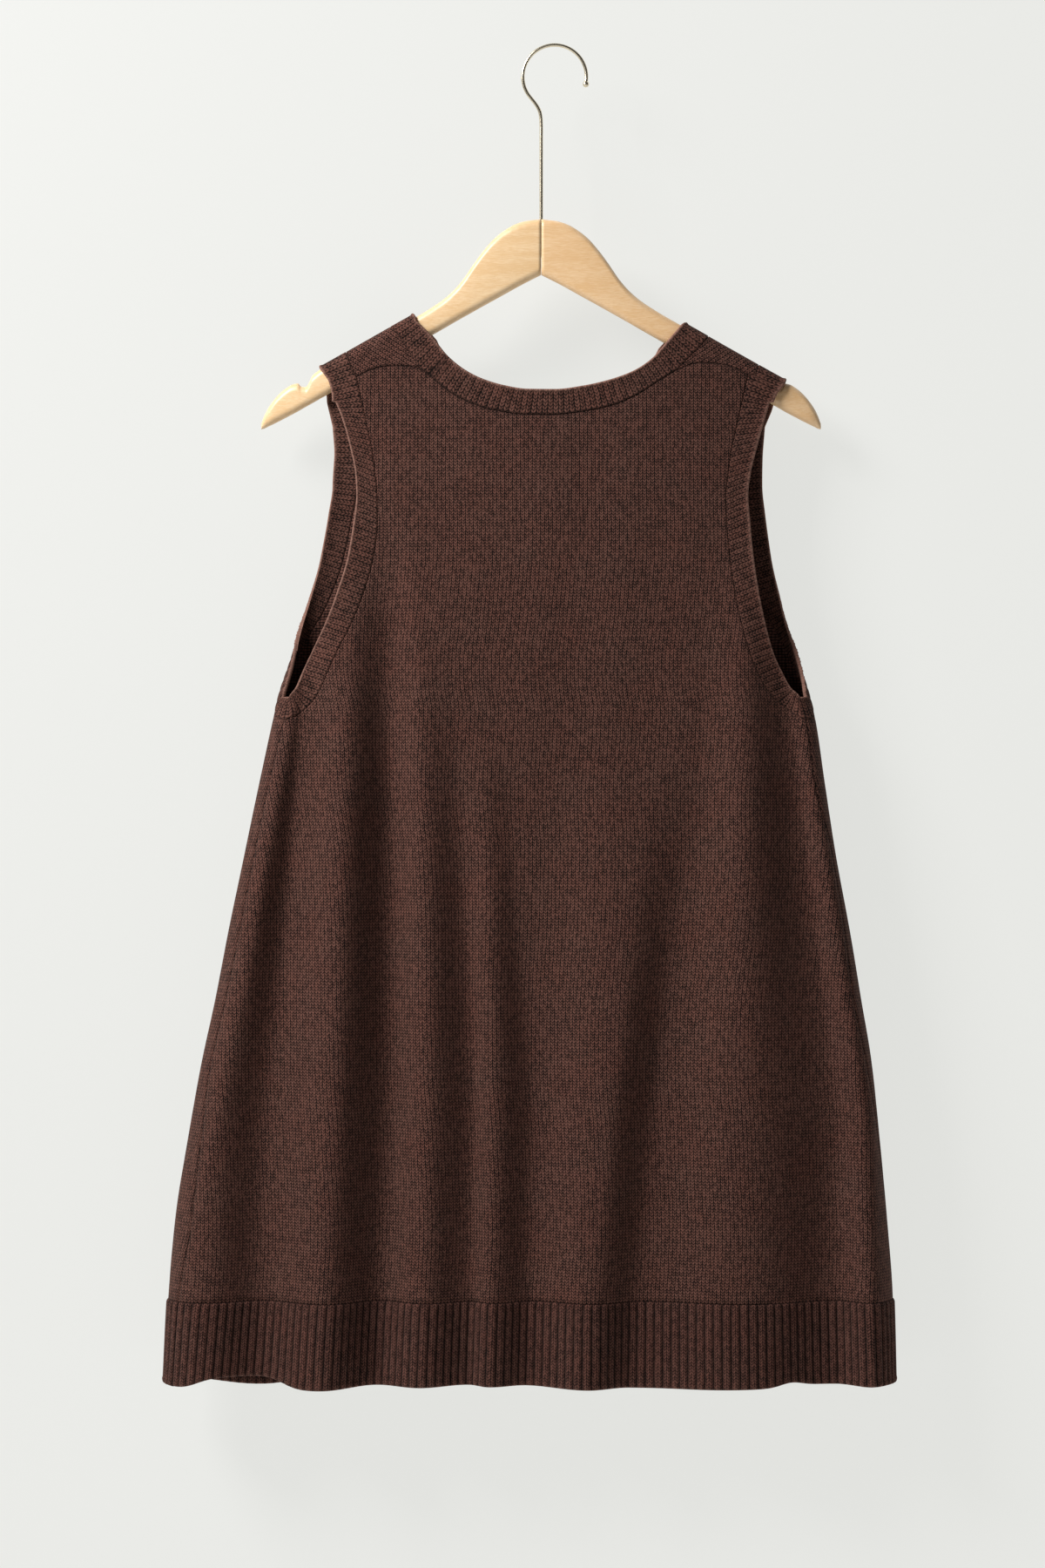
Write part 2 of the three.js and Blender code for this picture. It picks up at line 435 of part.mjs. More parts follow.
function hook() {
  const bend = hookPath(), start = bend[0], away = start.clone().sub(bend[1]).normalize();
  const ball = [[4.9, 0.5], [4.5, 1.5], [3.5, 2.3], [2.4, 2.55], [1.3, 2.3], [0.4, 1.6]];
  const path = [...ball.map(([along]) => start.clone().addScaledVector(away, along)), ...bend];
  return tube(path, [...ball.map(([, radius]) => radius), ...bend.map(() => WIRE)], 14);
}
const bore = solidOf(tube([SHANK_LOW - 1, -150, -120].map((z) => new THREE.Vector3(ARM_X, 0, z)), [1.7, 1.7, 1.7], 20));

// ---- the model -----------------------------------------------------------------------------
const look = (color, roughness, metalness = 0) => new THREE.MeshStandardMaterial({ color, roughness, metalness, flatShading: true });
const knit = look("#503931", 0.95), rib = look("#4a342d", 0.95);
const paleWood = look("#ebc592", 0.45), wood = look("#dfb584", 0.45), metal = look("#cfc6b6", 0.3, 1);
const root = new THREE.Group();
function add(name, geometry, material) {
  const mesh = new THREE.Mesh(geometry, material);
  mesh.name = name;
  mesh.position.x = -SEAT_X;
  root.add(mesh);
}
add("back_panel", sheet([backRows], PANEL), knit);
add("front_panel", sheet([frontRows, straps[-1], straps[1].map((row) => [...row].reverse())], PANEL), knit);
add("back_hem_rib", sheet([hem(backLow, 1)], RIB), rib);
add("front_hem_rib", sheet([hem(frontLow, -1)], RIB), rib);
add("neck_band", sheet(neckBand(), RIB), rib);
add("armhole_band_left", sheet(armholeBand(-1), RIB), rib);
add("armhole_band_right", sheet(armholeBand(1), RIB), rib);
add("hanger_arm_left", arm(-1, bore), paleWood);
add("hanger_arm_right", arm(1, bore), wood);
add("hanger_hook", hook(), metal);
export default root;
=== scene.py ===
"""A dark brown knitted vest, seen from its back, hung by the shoulders on a pale wooden hanger.

Lengths in the sections are millimetres in the garment's own frame: x across, y from the
back of the garment (negative) to its front, z up, 0 at the seat of the hanger's hook.
"""
import math

import bpy
import numpy as np
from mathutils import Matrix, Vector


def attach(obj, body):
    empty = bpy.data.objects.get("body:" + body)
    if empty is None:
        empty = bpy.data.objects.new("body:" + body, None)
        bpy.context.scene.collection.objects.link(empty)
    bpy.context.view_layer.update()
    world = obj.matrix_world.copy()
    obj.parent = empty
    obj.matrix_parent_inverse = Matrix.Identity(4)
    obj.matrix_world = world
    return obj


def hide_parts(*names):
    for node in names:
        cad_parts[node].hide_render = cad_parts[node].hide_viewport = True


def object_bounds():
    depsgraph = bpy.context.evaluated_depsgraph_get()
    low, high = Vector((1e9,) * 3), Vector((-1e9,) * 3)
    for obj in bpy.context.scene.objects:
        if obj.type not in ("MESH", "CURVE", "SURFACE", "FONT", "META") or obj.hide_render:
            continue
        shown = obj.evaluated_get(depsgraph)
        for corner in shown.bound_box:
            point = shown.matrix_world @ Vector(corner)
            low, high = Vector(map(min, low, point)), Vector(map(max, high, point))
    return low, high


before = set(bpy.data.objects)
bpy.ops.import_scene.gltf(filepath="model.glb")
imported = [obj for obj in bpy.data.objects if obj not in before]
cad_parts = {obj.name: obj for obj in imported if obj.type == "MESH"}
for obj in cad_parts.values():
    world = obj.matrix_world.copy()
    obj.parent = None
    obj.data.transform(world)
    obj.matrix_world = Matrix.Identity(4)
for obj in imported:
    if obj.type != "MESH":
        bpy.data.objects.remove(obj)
cad_low, cad_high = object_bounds()

# ---- Room ------------------------------------------------------------------------------
# The vest hangs in front of a pale plastered wall, over a pale floor, in soft daylight from
# the upper left. The lens looks level at the garment's back from three metres.
CAMERA_AWAY = 3.0
FRAME_HIGH = 1.236                      # metres of the hanging plane that fill the frame's height
AIM_LEFT, AIM_DOWN = 0.0055, 0.056      # where the lens points, from the garment's middle
centre = (cad_low + cad_high) / 2
aim = (centre[0] - AIM_LEFT, 0.0, centre[2] - AIM_DOWN)

lens = bpy.data.cameras.new("camera")
lens.sensor_width = 36.0
lens.lens = lens.sensor_width * CAMERA_AWAY / FRAME_HIGH
camera = bpy.data.objects.new("camera", lens)
camera.location = (aim[0], -CAMERA_AWAY, aim[2])
camera.rotation_euler = (math.pi / 2, 0, 0)
bpy.context.collection.objects.link(camera)
bpy.context.scene.camera = camera


def new_material(name):
    """An empty material with its node tree, its Principled shader and a function that adds nodes."""
    material = bpy.data.materials.new(name)
    material.use_nodes = True
    tree = material.node_tree
    shader = tree.nodes["Principled BSDF"]

    def node(kind, inputs=(), **settings):
        made = tree.nodes.new(kind)
        for key, value in settings.items():
            setattr(made, key, value)
        for socket, value in dict(inputs).items():
            if isinstance(value, bpy.types.NodeSocket):
                tree.links.new(value, made.inputs[socket])
            else:
                made.inputs[socket].default_value = value
        return made

    return material, tree, shader, node


def srgb(red, green, blue):
    """A colour given as screen values of 0 to 255, as linear light with alpha 1."""
    return tuple((value / 255) ** 2.2 for value in (red, green, blue)) + (1.0,)


def room_sheet(name, corners, color, glow, one_sided):
    """A flat four-cornered sheet of the room, bright of itself by glow so that shadows on it stay faint.
    A one-sided one is clear from behind."""
    mesh = bpy.data.meshes.new(name)
    mesh.from_pydata(corners, [], [(0, 1, 2, 3)])
    sheet = bpy.data.objects.new(name, mesh)
    bpy.context.collection.objects.link(sheet)
    material, tree, shader, node = new_material(name)
    shader.inputs["Base Color"].default_value = color
    shader.inputs["Roughness"].default_value = 0.9
    shader.inputs["Specular IOR Level"].default_value = 0.2
    shader.inputs["Emission Color"].default_value = srgb(237, 238, 234)
    shader.inputs["Emission Strength"].default_value = glow
    if one_sided:
        clear = node("ShaderNodeBsdfTransparent")
        facing = node("ShaderNodeNewGeometry")
        mix = node("ShaderNodeMixShader", {0: facing.outputs["Backfacing"], 1: shader.outputs[0], 2: clear.outputs[0]})
        tree.links.new(mix.outputs[0], tree.nodes["Material Output"].inputs["Surface"])
    mesh.materials.append(material)


WALL_Y, WALL_HALF, WALL_TOP = 0.05, 9, 4
FLOOR_Z, FLOOR_HALF = cad_low[2] - 0.5, 4
room_sheet("wall", [(-WALL_HALF, WALL_Y, FLOOR_Z), (WALL_HALF, WALL_Y, FLOOR_Z),
                    (WALL_HALF, WALL_Y, WALL_TOP), (-WALL_HALF, WALL_Y, WALL_TOP)],
           (0.12, 0.12, 0.119, 1), glow=0.84, one_sided=True)
room_sheet("floor", [(-FLOOR_HALF, -FLOOR_HALF, FLOOR_Z), (FLOOR_HALF, -FLOOR_HALF, FLOOR_Z),
                     (FLOOR_HALF, FLOOR_HALF, FLOOR_Z), (-FLOOR_HALF, FLOOR_HALF, FLOOR_Z)],
           (0.5, 0.5, 0.49, 1), glow=0.4, one_sided=False)


def area_light(name, place, target, size, watts, color=(1, 1, 1)):
    """A square soft lamp at a place, turned to face a target."""
    data = bpy.data.lights.new(name, "AREA")
    data.size, data.energy, data.color = size, watts, color
    lamp = bpy.data.objects.new(name, data)
    lamp.location = place
    direction = np.array(target) - np.array(place)
    flat = math.hypot(direction[0], direction[1])
    heading = math.atan2(direction[1], direction[0])
    lamp.rotation_euler = (math.pi / 2 + math.atan2(direction[2], flat), 0, heading - math.pi / 2)
    bpy.context.collection.objects.link(lamp)


area_light("window", (-1.55, -1.2, 1.0), aim, 0.9, 82, (1.0, 0.99, 0.98))
area_light("behind", (0.9, 2.6, 0.8), aim, 2.2, 40)

# The space past the sheets is a dim light for the cloth, and pale where it is seen itself.
world = bpy.data.worlds.new("room")
world.use_nodes = True
sky = world.node_tree.nodes
dim, pale = sky["Background"], sky.new("ShaderNodeBackground")
dim.inputs["Color"].default_value, dim.inputs["Strength"].default_value = (0.98, 0.99, 1.0, 1), 0.04
pale.inputs["Color"].default_value, pale.inputs["Strength"].default_value = (0.8, 0.81, 0.8, 1), 1.0
seen, either = sky.new("ShaderNodeLightPath"), sky.new("ShaderNodeMixShader")
for start, end in ((seen.outputs["Is Camera Ray"], either.inputs[0]),
                   (dim.outputs[0], either.inputs[1]),
                   (pale.outputs[0], either.inputs[2]),
                   (either.outputs[0], sky["World Output"].inputs["Surface"])):
    world.node_tree.links.new(start, end)
bpy.context.scene.world = world
bpy.context.scene.view_settings.view_transform = "Standard"

# ---- Hook ------------------------------------------------------------------------------
# Round nickel-plated steel wire, bent over the rail, with a small ball pressed on its end.
# It stands in a hole between the two halves of the hanger.
WIRE = 1.4                       # radius of the wire
HOOK_R = 25.1                    # radius of the bend, to the wire's middle
SHANK_X = -10.6                  # where the straight shank goes down
SHANK_LOW = -166
BALL = 2.5                       # radius of the ball on the wire's end
WIRE_SIDES = 20


def grid_faces(rows, columns, closed=False, first=0):
    """The four-cornered faces of a grid of points numbered row by row; closed joins the last column to the first."""
    r = np.arange(rows - 1)[:, None]
    c = np.arange(columns if closed else columns - 1)[None, :]
    nxt = (c + 1) % columns
    a, b = r * columns + c, r * columns + nxt
    return np.stack([a, b, b + columns, a + columns], -1).reshape(-1, 4) + first


def put_mesh(name, points, faces):
    """A new smooth object from points in millimetres and faces given as rows of corner numbers."""
    mesh = bpy.data.meshes.new(name)
    mesh.from_pydata((np.asarray(points) * 0.001).tolist(), [], [tuple(face) for face in faces])
    mesh.shade_smooth()
    thing = bpy.data.objects.new(name, mesh)
    bpy.context.collection.objects.link(thing)
    return thing


def capped(rings):
    """Points and faces of a skin through equal closed rings, with a fan to the middle of each end ring."""
    rows, columns = rings.shape[:2]
    points = np.concatenate([rings.reshape(-1, 3), rings[[0, -1]].mean(1)])
    here, last = np.arange(columns), (rows - 1) * columns
    after = (here + 1) % columns
    low_fan = np.stack([after, here, np.full(columns, rows * columns)], 1)
    high_fan = np.stack([last + here, last + after, np.full(columns, rows * columns + 1)], 1)
    return points, [*grid_faces(rows, columns, closed=True).tolist(), *low_fan.tolist(), *high_fan.tolist()]


def wire(path, radii, sides):
    """Rings round a path in the x z plane: each lies across the path there, with its radius from radii."""
    ahead = np.gradient(path, axis=0)
    ahead /= np.linalg.norm(ahead, axis=1)[:, None]
    across = np.array([0.0, 1.0, 0.0])
    out = np.cross(ahead, across)
    turn = np.linspace(0, 2 * np.pi, sides, endpoint=False)[None, :, None]
    return path[:, None] + radii[:, None, None] * (np.cos(turn) * across + np.sin(turn) * out[:, None])


def smooth_path(points, count):
    """A Catmull-Rom curve through points, evenly stepped in its parameter."""
    p = np.concatenate([[2 * points[0] - points[1]], points, [2 * points[-1] - points[-2]]])
    t = np.linspace(0, len(points) - 1, count)
    i = np.minimum(t.astype(int), len(points) - 2)
    f = (t - i)[:, None]
    a, b, c, d = p[i], p[i + 1], p[i + 2], p[i + 3]
    return b + 0.5 * f * (c - a + f * (2 * a - 5 * b + 4 * c - d + f * (3 * (b - c) + d - a)))


angle = np.radians(np.linspace(-8, 218, 70))
bend = np.stack([HOOK_R * np.cos(angle), 0 * angle, HOOK_R * np.sin(angle) - (HOOK_R - WIRE)], 1)
below_bend = np.array([bend[-1], (-15, 0, -45.2), (-12.2, 0, -50), (-11, 0, -55), (SHANK_X, 0, -62), (SHANK_X, 0, -72)])
below_bend = smooth_path(below_bend, 40)[1:]
shank = np.stack([np.full(12, SHANK_X), np.zeros(12), np.linspace(-80, SHANK_LOW, 12)], 1)
tip = bend[0] - bend[1]
tip /= np.linalg.norm(tip)
ball_turn = np.linspace(0.05, 2.4, 14)
ball_out = np.cos(ball_turn) * BALL + 2.3          # from the wire's end, which is sunk in the ball
path = np.concatenate([bend[0] + ball_out[:, None] * tip, bend, below_bend, shank])
radii = np.concatenate([np.sin(ball_turn) * BALL, np.full(len(path) - len(ball_turn), WIRE)])
hook = put_mesh("hook_wire", *capped(wire(path, radii, WIRE_SIDES)))

metal, tree, shader, node = new_material("warm_nickel")
shader.inputs["Metallic"].default_value = 1.0
shader.inputs["Base Color"].default_value = srgb(226, 214, 190)
place = node("ShaderNodeTexCoord").outputs["Object"]
scuffs = node("ShaderNodeTexNoise", {"Vector": place, "Scale": 700.0, "Detail": 3.0})
gloss = node("ShaderNodeMapRange", {"Value": scuffs.outputs["Fac"], "To Min": 0.2, "To Max": 0.36})
tree.links.new(gloss.outputs["Result"], shader.inputs["Roughness"])
hook.data.materials.append(metal)
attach(hook, "root")
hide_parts("hanger_hook")

# ---- Hanger ----------------------------------------------------------------------------
# Two flat arms of pale maple, mitred and glued at the middle, with rounded edges, a notch
# for straps near each end, and a clear satin varnish. The ends sweep back a little.
ARM_HALF = 5.5                   # half the wood's thickness
SWEEP, SPAN = 18.0, 222.0        # how far back an end lies, and how far out it is
ARM_X = SHANK_X                  # the mitre is at the hook's shank
MITRE = 0.15                     # each arm stops this far short of the mitre
ARM_EDGE = 6.6                   # height of the rounding over each long edge
# Distance out from the mitre, and there the height of the top edge and of the lower edge.
ARM_OUT = [0, 12, 20.6, 29, 37, 45.3, 53.5, 61.8, 70, 78, 86, 95, 120, 150, 181, 183.2, 186.4, 189.8, 192.6,
           196.5, 202, 208, 213, 217, 220, 221.8]
ARM_TOP = [-136, -137.4, -140, -144.8, -151.2, -160.5, -171.5, -183.6, -192.8, -199.6, -205, -210.5, -224.3,
           -240.9, -257.8, -262.6, -266.8, -266.6, -264, -264.6, -267.6, -272.6, -278.4, -284.2, -290.4, -295.4]
ARM_LOW = [-180, -186, -190.6, -195.3, -199.7, -204.2, -208.8, -213.4, -218, -222.6, -227.1, -232.1, -246,
           -262.6, -279.8, -281, -282.7, -284.6, -286.2, -288.2, -291, -294, -296.4, -298.2, -299.6, -299.9]


def along(keys, values):
    """A smooth curve through a table's rows: cubic pieces whose slopes are the harmonic means of the
    chords beside each row, so that it never overshoots, and level beyond the ends."""
    order = np.argsort(keys)
    k, v = np.array(keys, float)[order], np.array(values, float)[order]
    rise = np.diff(v) / np.diff(k)
    a, b = rise[:-1], rise[1:]
    inner = np.where(a * b > 0, 2 * a * b / np.where(a + b == 0, 1, a + b), 0)
    slope = np.concatenate([[rise[0]], inner, [rise[-1]]])

    def curve(key):
        key = np.clip(key, k[0], k[-1])
        i = np.clip(np.searchsorted(k, key, side="right") - 1, 0, len(k) - 2)
        w = k[i + 1] - k[i]
        t = (key - k[i]) / w
        return (v[i] * (1 + 2 * t) * (1 - t) ** 2 + v[i + 1] * t * t * (3 - 2 * t)
                + w * t * (1 - t) * (slope[i] * (1 - t) - slope[i + 1] * t))
    return curve


def sweep(x):
    """How far back the hanger is at x: the square of the share of its half span."""
    return SWEEP * (np.minimum(np.abs(x - ARM_X), SPAN) / SPAN) ** 2


def arm_rings(edge):
    """Upright sections along an arm: a half ellipse over its top edge and one under its lower edge. They
    stand closer past the shoulder, where the notch is, and get thinner toward the tip."""
    out = np.concatenate([np.linspace(MITRE, 176, 70), np.linspace(177, 221.8, 60)])[:, None]
    high, low = along(ARM_OUT, ARM_TOP)(out), along(ARM_OUT, ARM_LOW)(out)
    end = np.clip((out - 212) / 10, 0, 1)
    half = ARM_HALF * np.sqrt(1 - 0.85 * end ** 2)
    edge_high = np.minimum(ARM_EDGE, (high - low) * 0.48)
    turn = np.linspace(-np.pi / 2, np.pi / 2, 17)
    x = ARM_X + edge * out
    upper = (sweep(x) + half * np.sin(turn), high - edge_high + edge_high * np.cos(turn))
    lower = (sweep(x) - half * np.sin(turn), low + edge_high - edge_high * np.cos(turn))
    y, z = (np.concatenate(pair, 1) for pair in zip(upper, lower))
    rings = np.stack([np.broadcast_to(x, y.shape), y, z], -1)
    return rings[:, ::-1] if edge > 0 else rings


def maple(name, edge, light):
    """Pale varnished maple: long fine fibres down the arm, broad soft bands and small dark flecks."""
    material, tree, shader, node = new_material(name)
    place = node("ShaderNodeTexCoord").outputs["Object"]
    down_arm = node("ShaderNodeMapping", {"Vector": place, "Rotation": (0, edge * -0.5, 0), "Scale": (7, 60, 60)})
    fibre = node("ShaderNodeTexNoise", {"Vector": down_arm.outputs[0], "Scale": 22.0, "Detail": 5.0, "Roughness": 0.55})
    bands = node("ShaderNodeTexNoise", {"Vector": down_arm.outputs[0], "Scale": 2.6, "Detail": 2.0})
    short = node("ShaderNodeMapping", {"Vector": place, "Rotation": (0, edge * -0.5, 0), "Scale": (90, 500, 700)})
    flecks = node("ShaderNodeTexNoise", {"Vector": short.outputs[0], "Scale": 3.0, "Detail": 1.0})
    pale, deep = srgb(*light), srgb(light[0] - 12, light[1] - 20, light[2] - 28)
    grain = node("ShaderNodeMapRange", {"Value": fibre.outputs["Fac"], "From Min": 0.34, "From Max": 0.7})
    wide = node("ShaderNodeMapRange", {"Value": bands.outputs["Fac"], "From Min": 0.35, "From Max": 0.7, "To Max": 0.6})
    both = node("ShaderNodeMath", {0: grain.outputs[0], 1: wide.outputs[0]}, operation="ADD", use_clamp=True)
    color = node("ShaderNodeMix", {"Factor": both.outputs[0]}, data_type="RGBA")
    color.inputs["A"].default_value, color.inputs["B"].default_value = pale, deep
    fleck = node("ShaderNodeMapRange", {"Value": flecks.outputs["Fac"], "From Min": 0.66, "From Max": 0.76,
                                        "To Max": 0.3})
    spotted = node("ShaderNodeMix", {"Factor": fleck.outputs[0]}, data_type="RGBA")
    tree.links.new(color.outputs["Result"], spotted.inputs["A"])
    spotted.inputs["B"].default_value = srgb(196, 150, 104)
    tree.links.new(spotted.outputs["Result"], shader.inputs["Base Color"])
    ridge = node("ShaderNodeBump", {"Height": fibre.outputs["Fac"], "Strength": 0.12, "Distance": 0.0004})
    tree.links.new(ridge.outputs["Normal"], shader.inputs["Normal"])
    shader.inputs["Roughness"].default_value = 0.42
    shader.inputs["Coat Weight"].default_value = 0.25
    shader.inputs["Coat Roughness"].default_value = 0.28
    return material


for side, edge, light in (("left", -1, (243, 212, 171)), ("right", 1, (242, 207, 165))):
    arm = put_mesh("maple_arm_" + side, *capped(arm_rings(edge)))
    arm.data.materials.append(maple("maple_" + side, edge, light))
    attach(arm, "root")
    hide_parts("hanger_arm_" + side)

# ---- Back panel ------------------------------------------------------------------------
# Plain-knit wool, its wales upright, shaped round at the neck and sewn at the sides and shoulders.
# It hangs from the shoulder seams in soft folds that start near the underarms and fan out below.
SEAT_X = 1.4                     # the tables below have the hook's seat at this x
SEAM = 0.2                       # each piece stops this far short of its seam
PANEL = 2.0                      # cloth thickness
ROUND = 26                       # width over which the cloth turns in to its side outline
CLEAR, TURN = 2.5, 8.7           # the cloth's middle above the arm, and the depth of its turn over it
HEM_TOP, HEM_LOW, UNDERARM, CHEST = -986, -1052, -531, -318
WALE, COURSE = 3.1, 2.3          # width and height of one stitch

# At each height: x of the outline, how far in on the near face each side seam lies, and how far the
# near and the far face stand from the garment's middle plane.
BODY_Z = [-250, -276, -298, -323, -345, -367, -402, -440, -460, -478, -512, -531, -581, -637, -697, -752, -801,
          -856, -923, -984, -1056]
BODY = {
    "left": [-217, -208, -192, -185, -184, -187, -192, -197, -199.9, -204.4, -215.6, -220, -230.7, -242.3, -254.8,
             -265.4, -276, -285.9, -296.6, -302, -305.6],
    "right": [211, 205, 184, 175.5, 175, 177, 182, 187.5, 189, 192, 201.8, 206.4, 213.6, 222.1, 233.2, 242.3, 250.4,
              256.2, 262.4, 267, 268.8],
    "left_seam": [0, 0, 0, 0, 0, 0, 0, 0, 0, 0, 9.4, 9.4, 8.4, 8.6, 9.8, 9.2, 8.6, 11.8, 14.6, 10, 8.6],
    "right_seam": [0, 0, 0, 0, 0, 0, 0, 0, 0, 0, 7.8, 7.8, 8.2, 3.8, 5.4, 7.4, 5.6, 2.4, 0.6, 0.3, 0.3],
    "near": [7.8, 8, 9, 10.5, 12, 13, 15, 17, 18, 19, 20, 20.5, 21.5, 23, 24, 25, 26, 27, 28, 29, 30],
    "far": [7.8, 7.8, 8.2, 9.5, 10.5, 11.5, 13, 15, 16, 16.5, 17, 17.4, 18, 19, 20, 21, 22, 23, 24, 25, 26],
}
body = {name: along(BODY_Z, values) for name, values in BODY.items()}
shoulder = along([0, 53.5, 61.8, 70, 78, 86, 95, 120, 150, 181, 230],
                 [-136, -171.5, -183.6, -192.8, -199.6, -205, -210.5, -224.3, -240.9, -257.8, -284])
TURN_ARC = math.pi / 2 * math.sqrt((TURN ** 2 + 7.8 ** 2) / 2)

# Hanging folds, near and far, each: x at its start, the height it starts at, its x at FOLD_BEND
# and at the hem, and how far it moves the cloth toward the garment's front once full grown.
FOLD_BEND, FOLD_FOOT, FOLD_GROWTH = -838, -1050, 300
NEAR_FOLDS = [(-204, -500, -262, -272, -4), (-188, -430, -224, -230, 12), (-158, -410, -172, -180, -13),
              (-128, -350, -130, -139, 13), (-104, -430, -97, -102, -8), (-76, -510, -62, -66, 7),
              (-54, -550, -46, -50, -5), (-34, -545, -14, -20, 9), (74, -540, 44, 26, -11),
              (114, -560, 80, 60, 8), (146, -400, 152, 148, -12), (172, -410, 221, 222, 12),
              (198, -520, 250, 250, -6)]
FAR_FOLDS = [(-186, -500, -216, -228, -7), (-150, -440, -172, -178, 11), (-122, -470, -128, -131, -8),
             (-70, -540, -66, -72, 8), (-18, -560, -8, -12, -7), (34, -500, 48, 52, 12),
             (84, -560, 96, 99, -8), (132, -450, 150, 151, 10), (164, -480, 196, 199, -8),
             (190, -560, 238, 240, 6)]


def blend_between(low, high, value):
    """0 below low, 1 above high, and an S curve between."""
    t = np.clip((value - low) / (high - low), 0, 1)
    return t * t * (3 - 2 * t)


def fold_push(folds, x, z):
    """How far the folds move the cloth: half cosine waves from each fold line to the next across
    the cloth, each growing down from its start as a quarter sine wave."""
    lines = [(body["left"](z), 0 * z)]
    for start, top, middle, low, push in folds:
        down = np.maximum(0, top - z)
        upper = start + (middle - start) * down / (top - FOLD_BEND)
        lower = middle + (low - middle) * (FOLD_BEND - z) / (FOLD_BEND - FOLD_FOOT)
        grown = np.sin(np.pi / 2 * np.minimum(1, down / FOLD_GROWTH))
        lines.append((np.where(z > FOLD_BEND, upper, lower), push * grown))
    lines.append((body["right"](z), 0 * z))
    total = 0 * x
    for (x0, push0), (x1, push1) in zip(lines, lines[1:]):
        t = (x - x0) / np.maximum(x1 - x0, 1)
        wave = push0 + (push1 - push0) * (1 - np.cos(np.pi * np.clip(t, 0, 1))) / 2
        total = np.where((t >= 0) & (t < 1), wave, total)
    return total


def ridge(x):
    """Height of the cloth's middle where it turns over the hanger's arm."""
    return shoulder(np.abs(x - SEAT_X - ARM_X)) + CLEAR


def cloth_point(x, z, sign, out):
    """The cloth at x and z: its face's distance from the garment's middle times out, less the folds' push
    and a faint ripple. sign is 1 on the near face and -1 on the far one. The middle follows the
    hanger's sweep at the top."""
    back = blend_between(-640, -270, z) * sweep(x - SEAT_X)
    stand = np.where(sign > 0, body["near"](z), -body["far"](z))
    push = np.where(sign > 0, fold_push(NEAR_FOLDS, x, z), fold_push(FAR_FOLDS, x, z))
    ripple = 0.5 * np.sin(x / 17 + z / 71 + sign) * np.sin(z / 43 - x / 90)
    ripple = ripple + 0.35 * np.sin(x / 9.3 - z / 120 + 2 * sign)
    return np.stack([x - SEAT_X, back - (stand - push - ripple * blend_between(-280, -330, z)) * out, z], -1)


def side_arc(sign, z):
    """Length of the quarter turn from the outline to the face: that of an ellipse, nearly."""
    return np.pi / 2 * np.sqrt((ROUND ** 2 + np.where(sign > 0, body["near"](z), body["far"](z)) ** 2) / 2)


def arc_from(inset, sign, z):
    """Distance along the cloth from the outline to a point that lies inset from it."""
    arc = side_arc(sign, z)
    turned = arc * np.arccos(1 - np.clip(inset, 0, ROUND) / ROUND) / (np.pi / 2)
    return np.where(inset < ROUND, turned, arc + inset - ROUND)


def on_side(edge, s, z):
    """The place s along the cloth from the outline of one edge (-1 left, 1 right), positive on the near
    face, at height z: round a quarter ellipse, then across the face."""
    s, z, edge = np.broadcast_arrays(s, np.asarray(z, float), edge)
    sign = np.where(s < 0, -1, 1)
    arc = side_arc(sign, z)
    turn = np.minimum(1, np.abs(s) / arc) * np.pi / 2
    inset = ROUND * (1 - np.cos(turn)) + np.maximum(0, np.abs(s) - arc)
    x = np.where(edge < 0, body["left"](z) + inset, body["right"](z) - inset)
    under = np.maximum(0, 1 - np.maximum(0, ridge(x) - z) / TURN)
    return cloth_point(x, z, sign, np.sin(turn) * np.sqrt(1 - under ** 2))


def on_face(x, z, sign):
    """The place at x and z on one face."""
    x, z = np.broadcast_arrays(x, np.asarray(z, float))
    edge = np.where(x < SEAT_X + ARM_X, -1, 1)
    inset = np.where(edge < 0, x - body["left"](z), body["right"](z) - x)
    return on_side(edge, sign * arc_from(np.maximum(0, inset), sign, z), z)


def over_arm(x, q):
    """The place at x, q along the cloth from its turn over the arm, positive on the near face."""
    x, q = np.broadcast_arrays(x, q)
    turn = np.minimum(1, np.abs(q) / TURN_ARC) * np.pi / 2
    z = ridge(x) - TURN * (1 - np.cos(turn)) - np.maximum(0, np.abs(q) - TURN_ARC)
    return cloth_point(x, z, np.where(q < 0, -1, 1), np.sin(turn))


def top_arc(x, z, sign):
    """The q of the place at x and z on one face."""
    drop = ridge(x) - z
    turned = TURN_ARC * np.arccos(1 - np.clip(drop, 0, TURN) / TURN) / (np.pi / 2)
    return sign * np.where(drop < TURN, turned, TURN_ARC + drop - TURN)


def mixed(a, b, t):
    """From a to b as t goes from 0 to 1."""
    return a + (b - a) * t


def face_row(left_s, right_s, z, sign, f):
    """Level rows of places right across a face, f of the way along the cloth from one s to the other."""
    left_s, right_s, z = (np.asarray(value)[:, None] for value in (left_s, right_s, z))
    width = body["right"](z) - body["left"](z) - 2 * ROUND + 2 * side_arc(sign, z)
    along_row = mixed(sign * left_s, width - sign * right_s, f[None, :])
    left = along_row < width / 2
    return on_side(np.where(left, -1, 1), sign * np.where(left, along_row, width - along_row), z)


def across(points):
    """Distance along each row of a grid of points from its middle column, in millimetres."""
    step = np.linalg.norm(np.diff(points, axis=1), axis=2)
    run = np.concatenate([np.zeros((len(points), 1)), np.cumsum(step, 1)], 1)
    return run - run[:, points.shape[1] // 2][:, None]


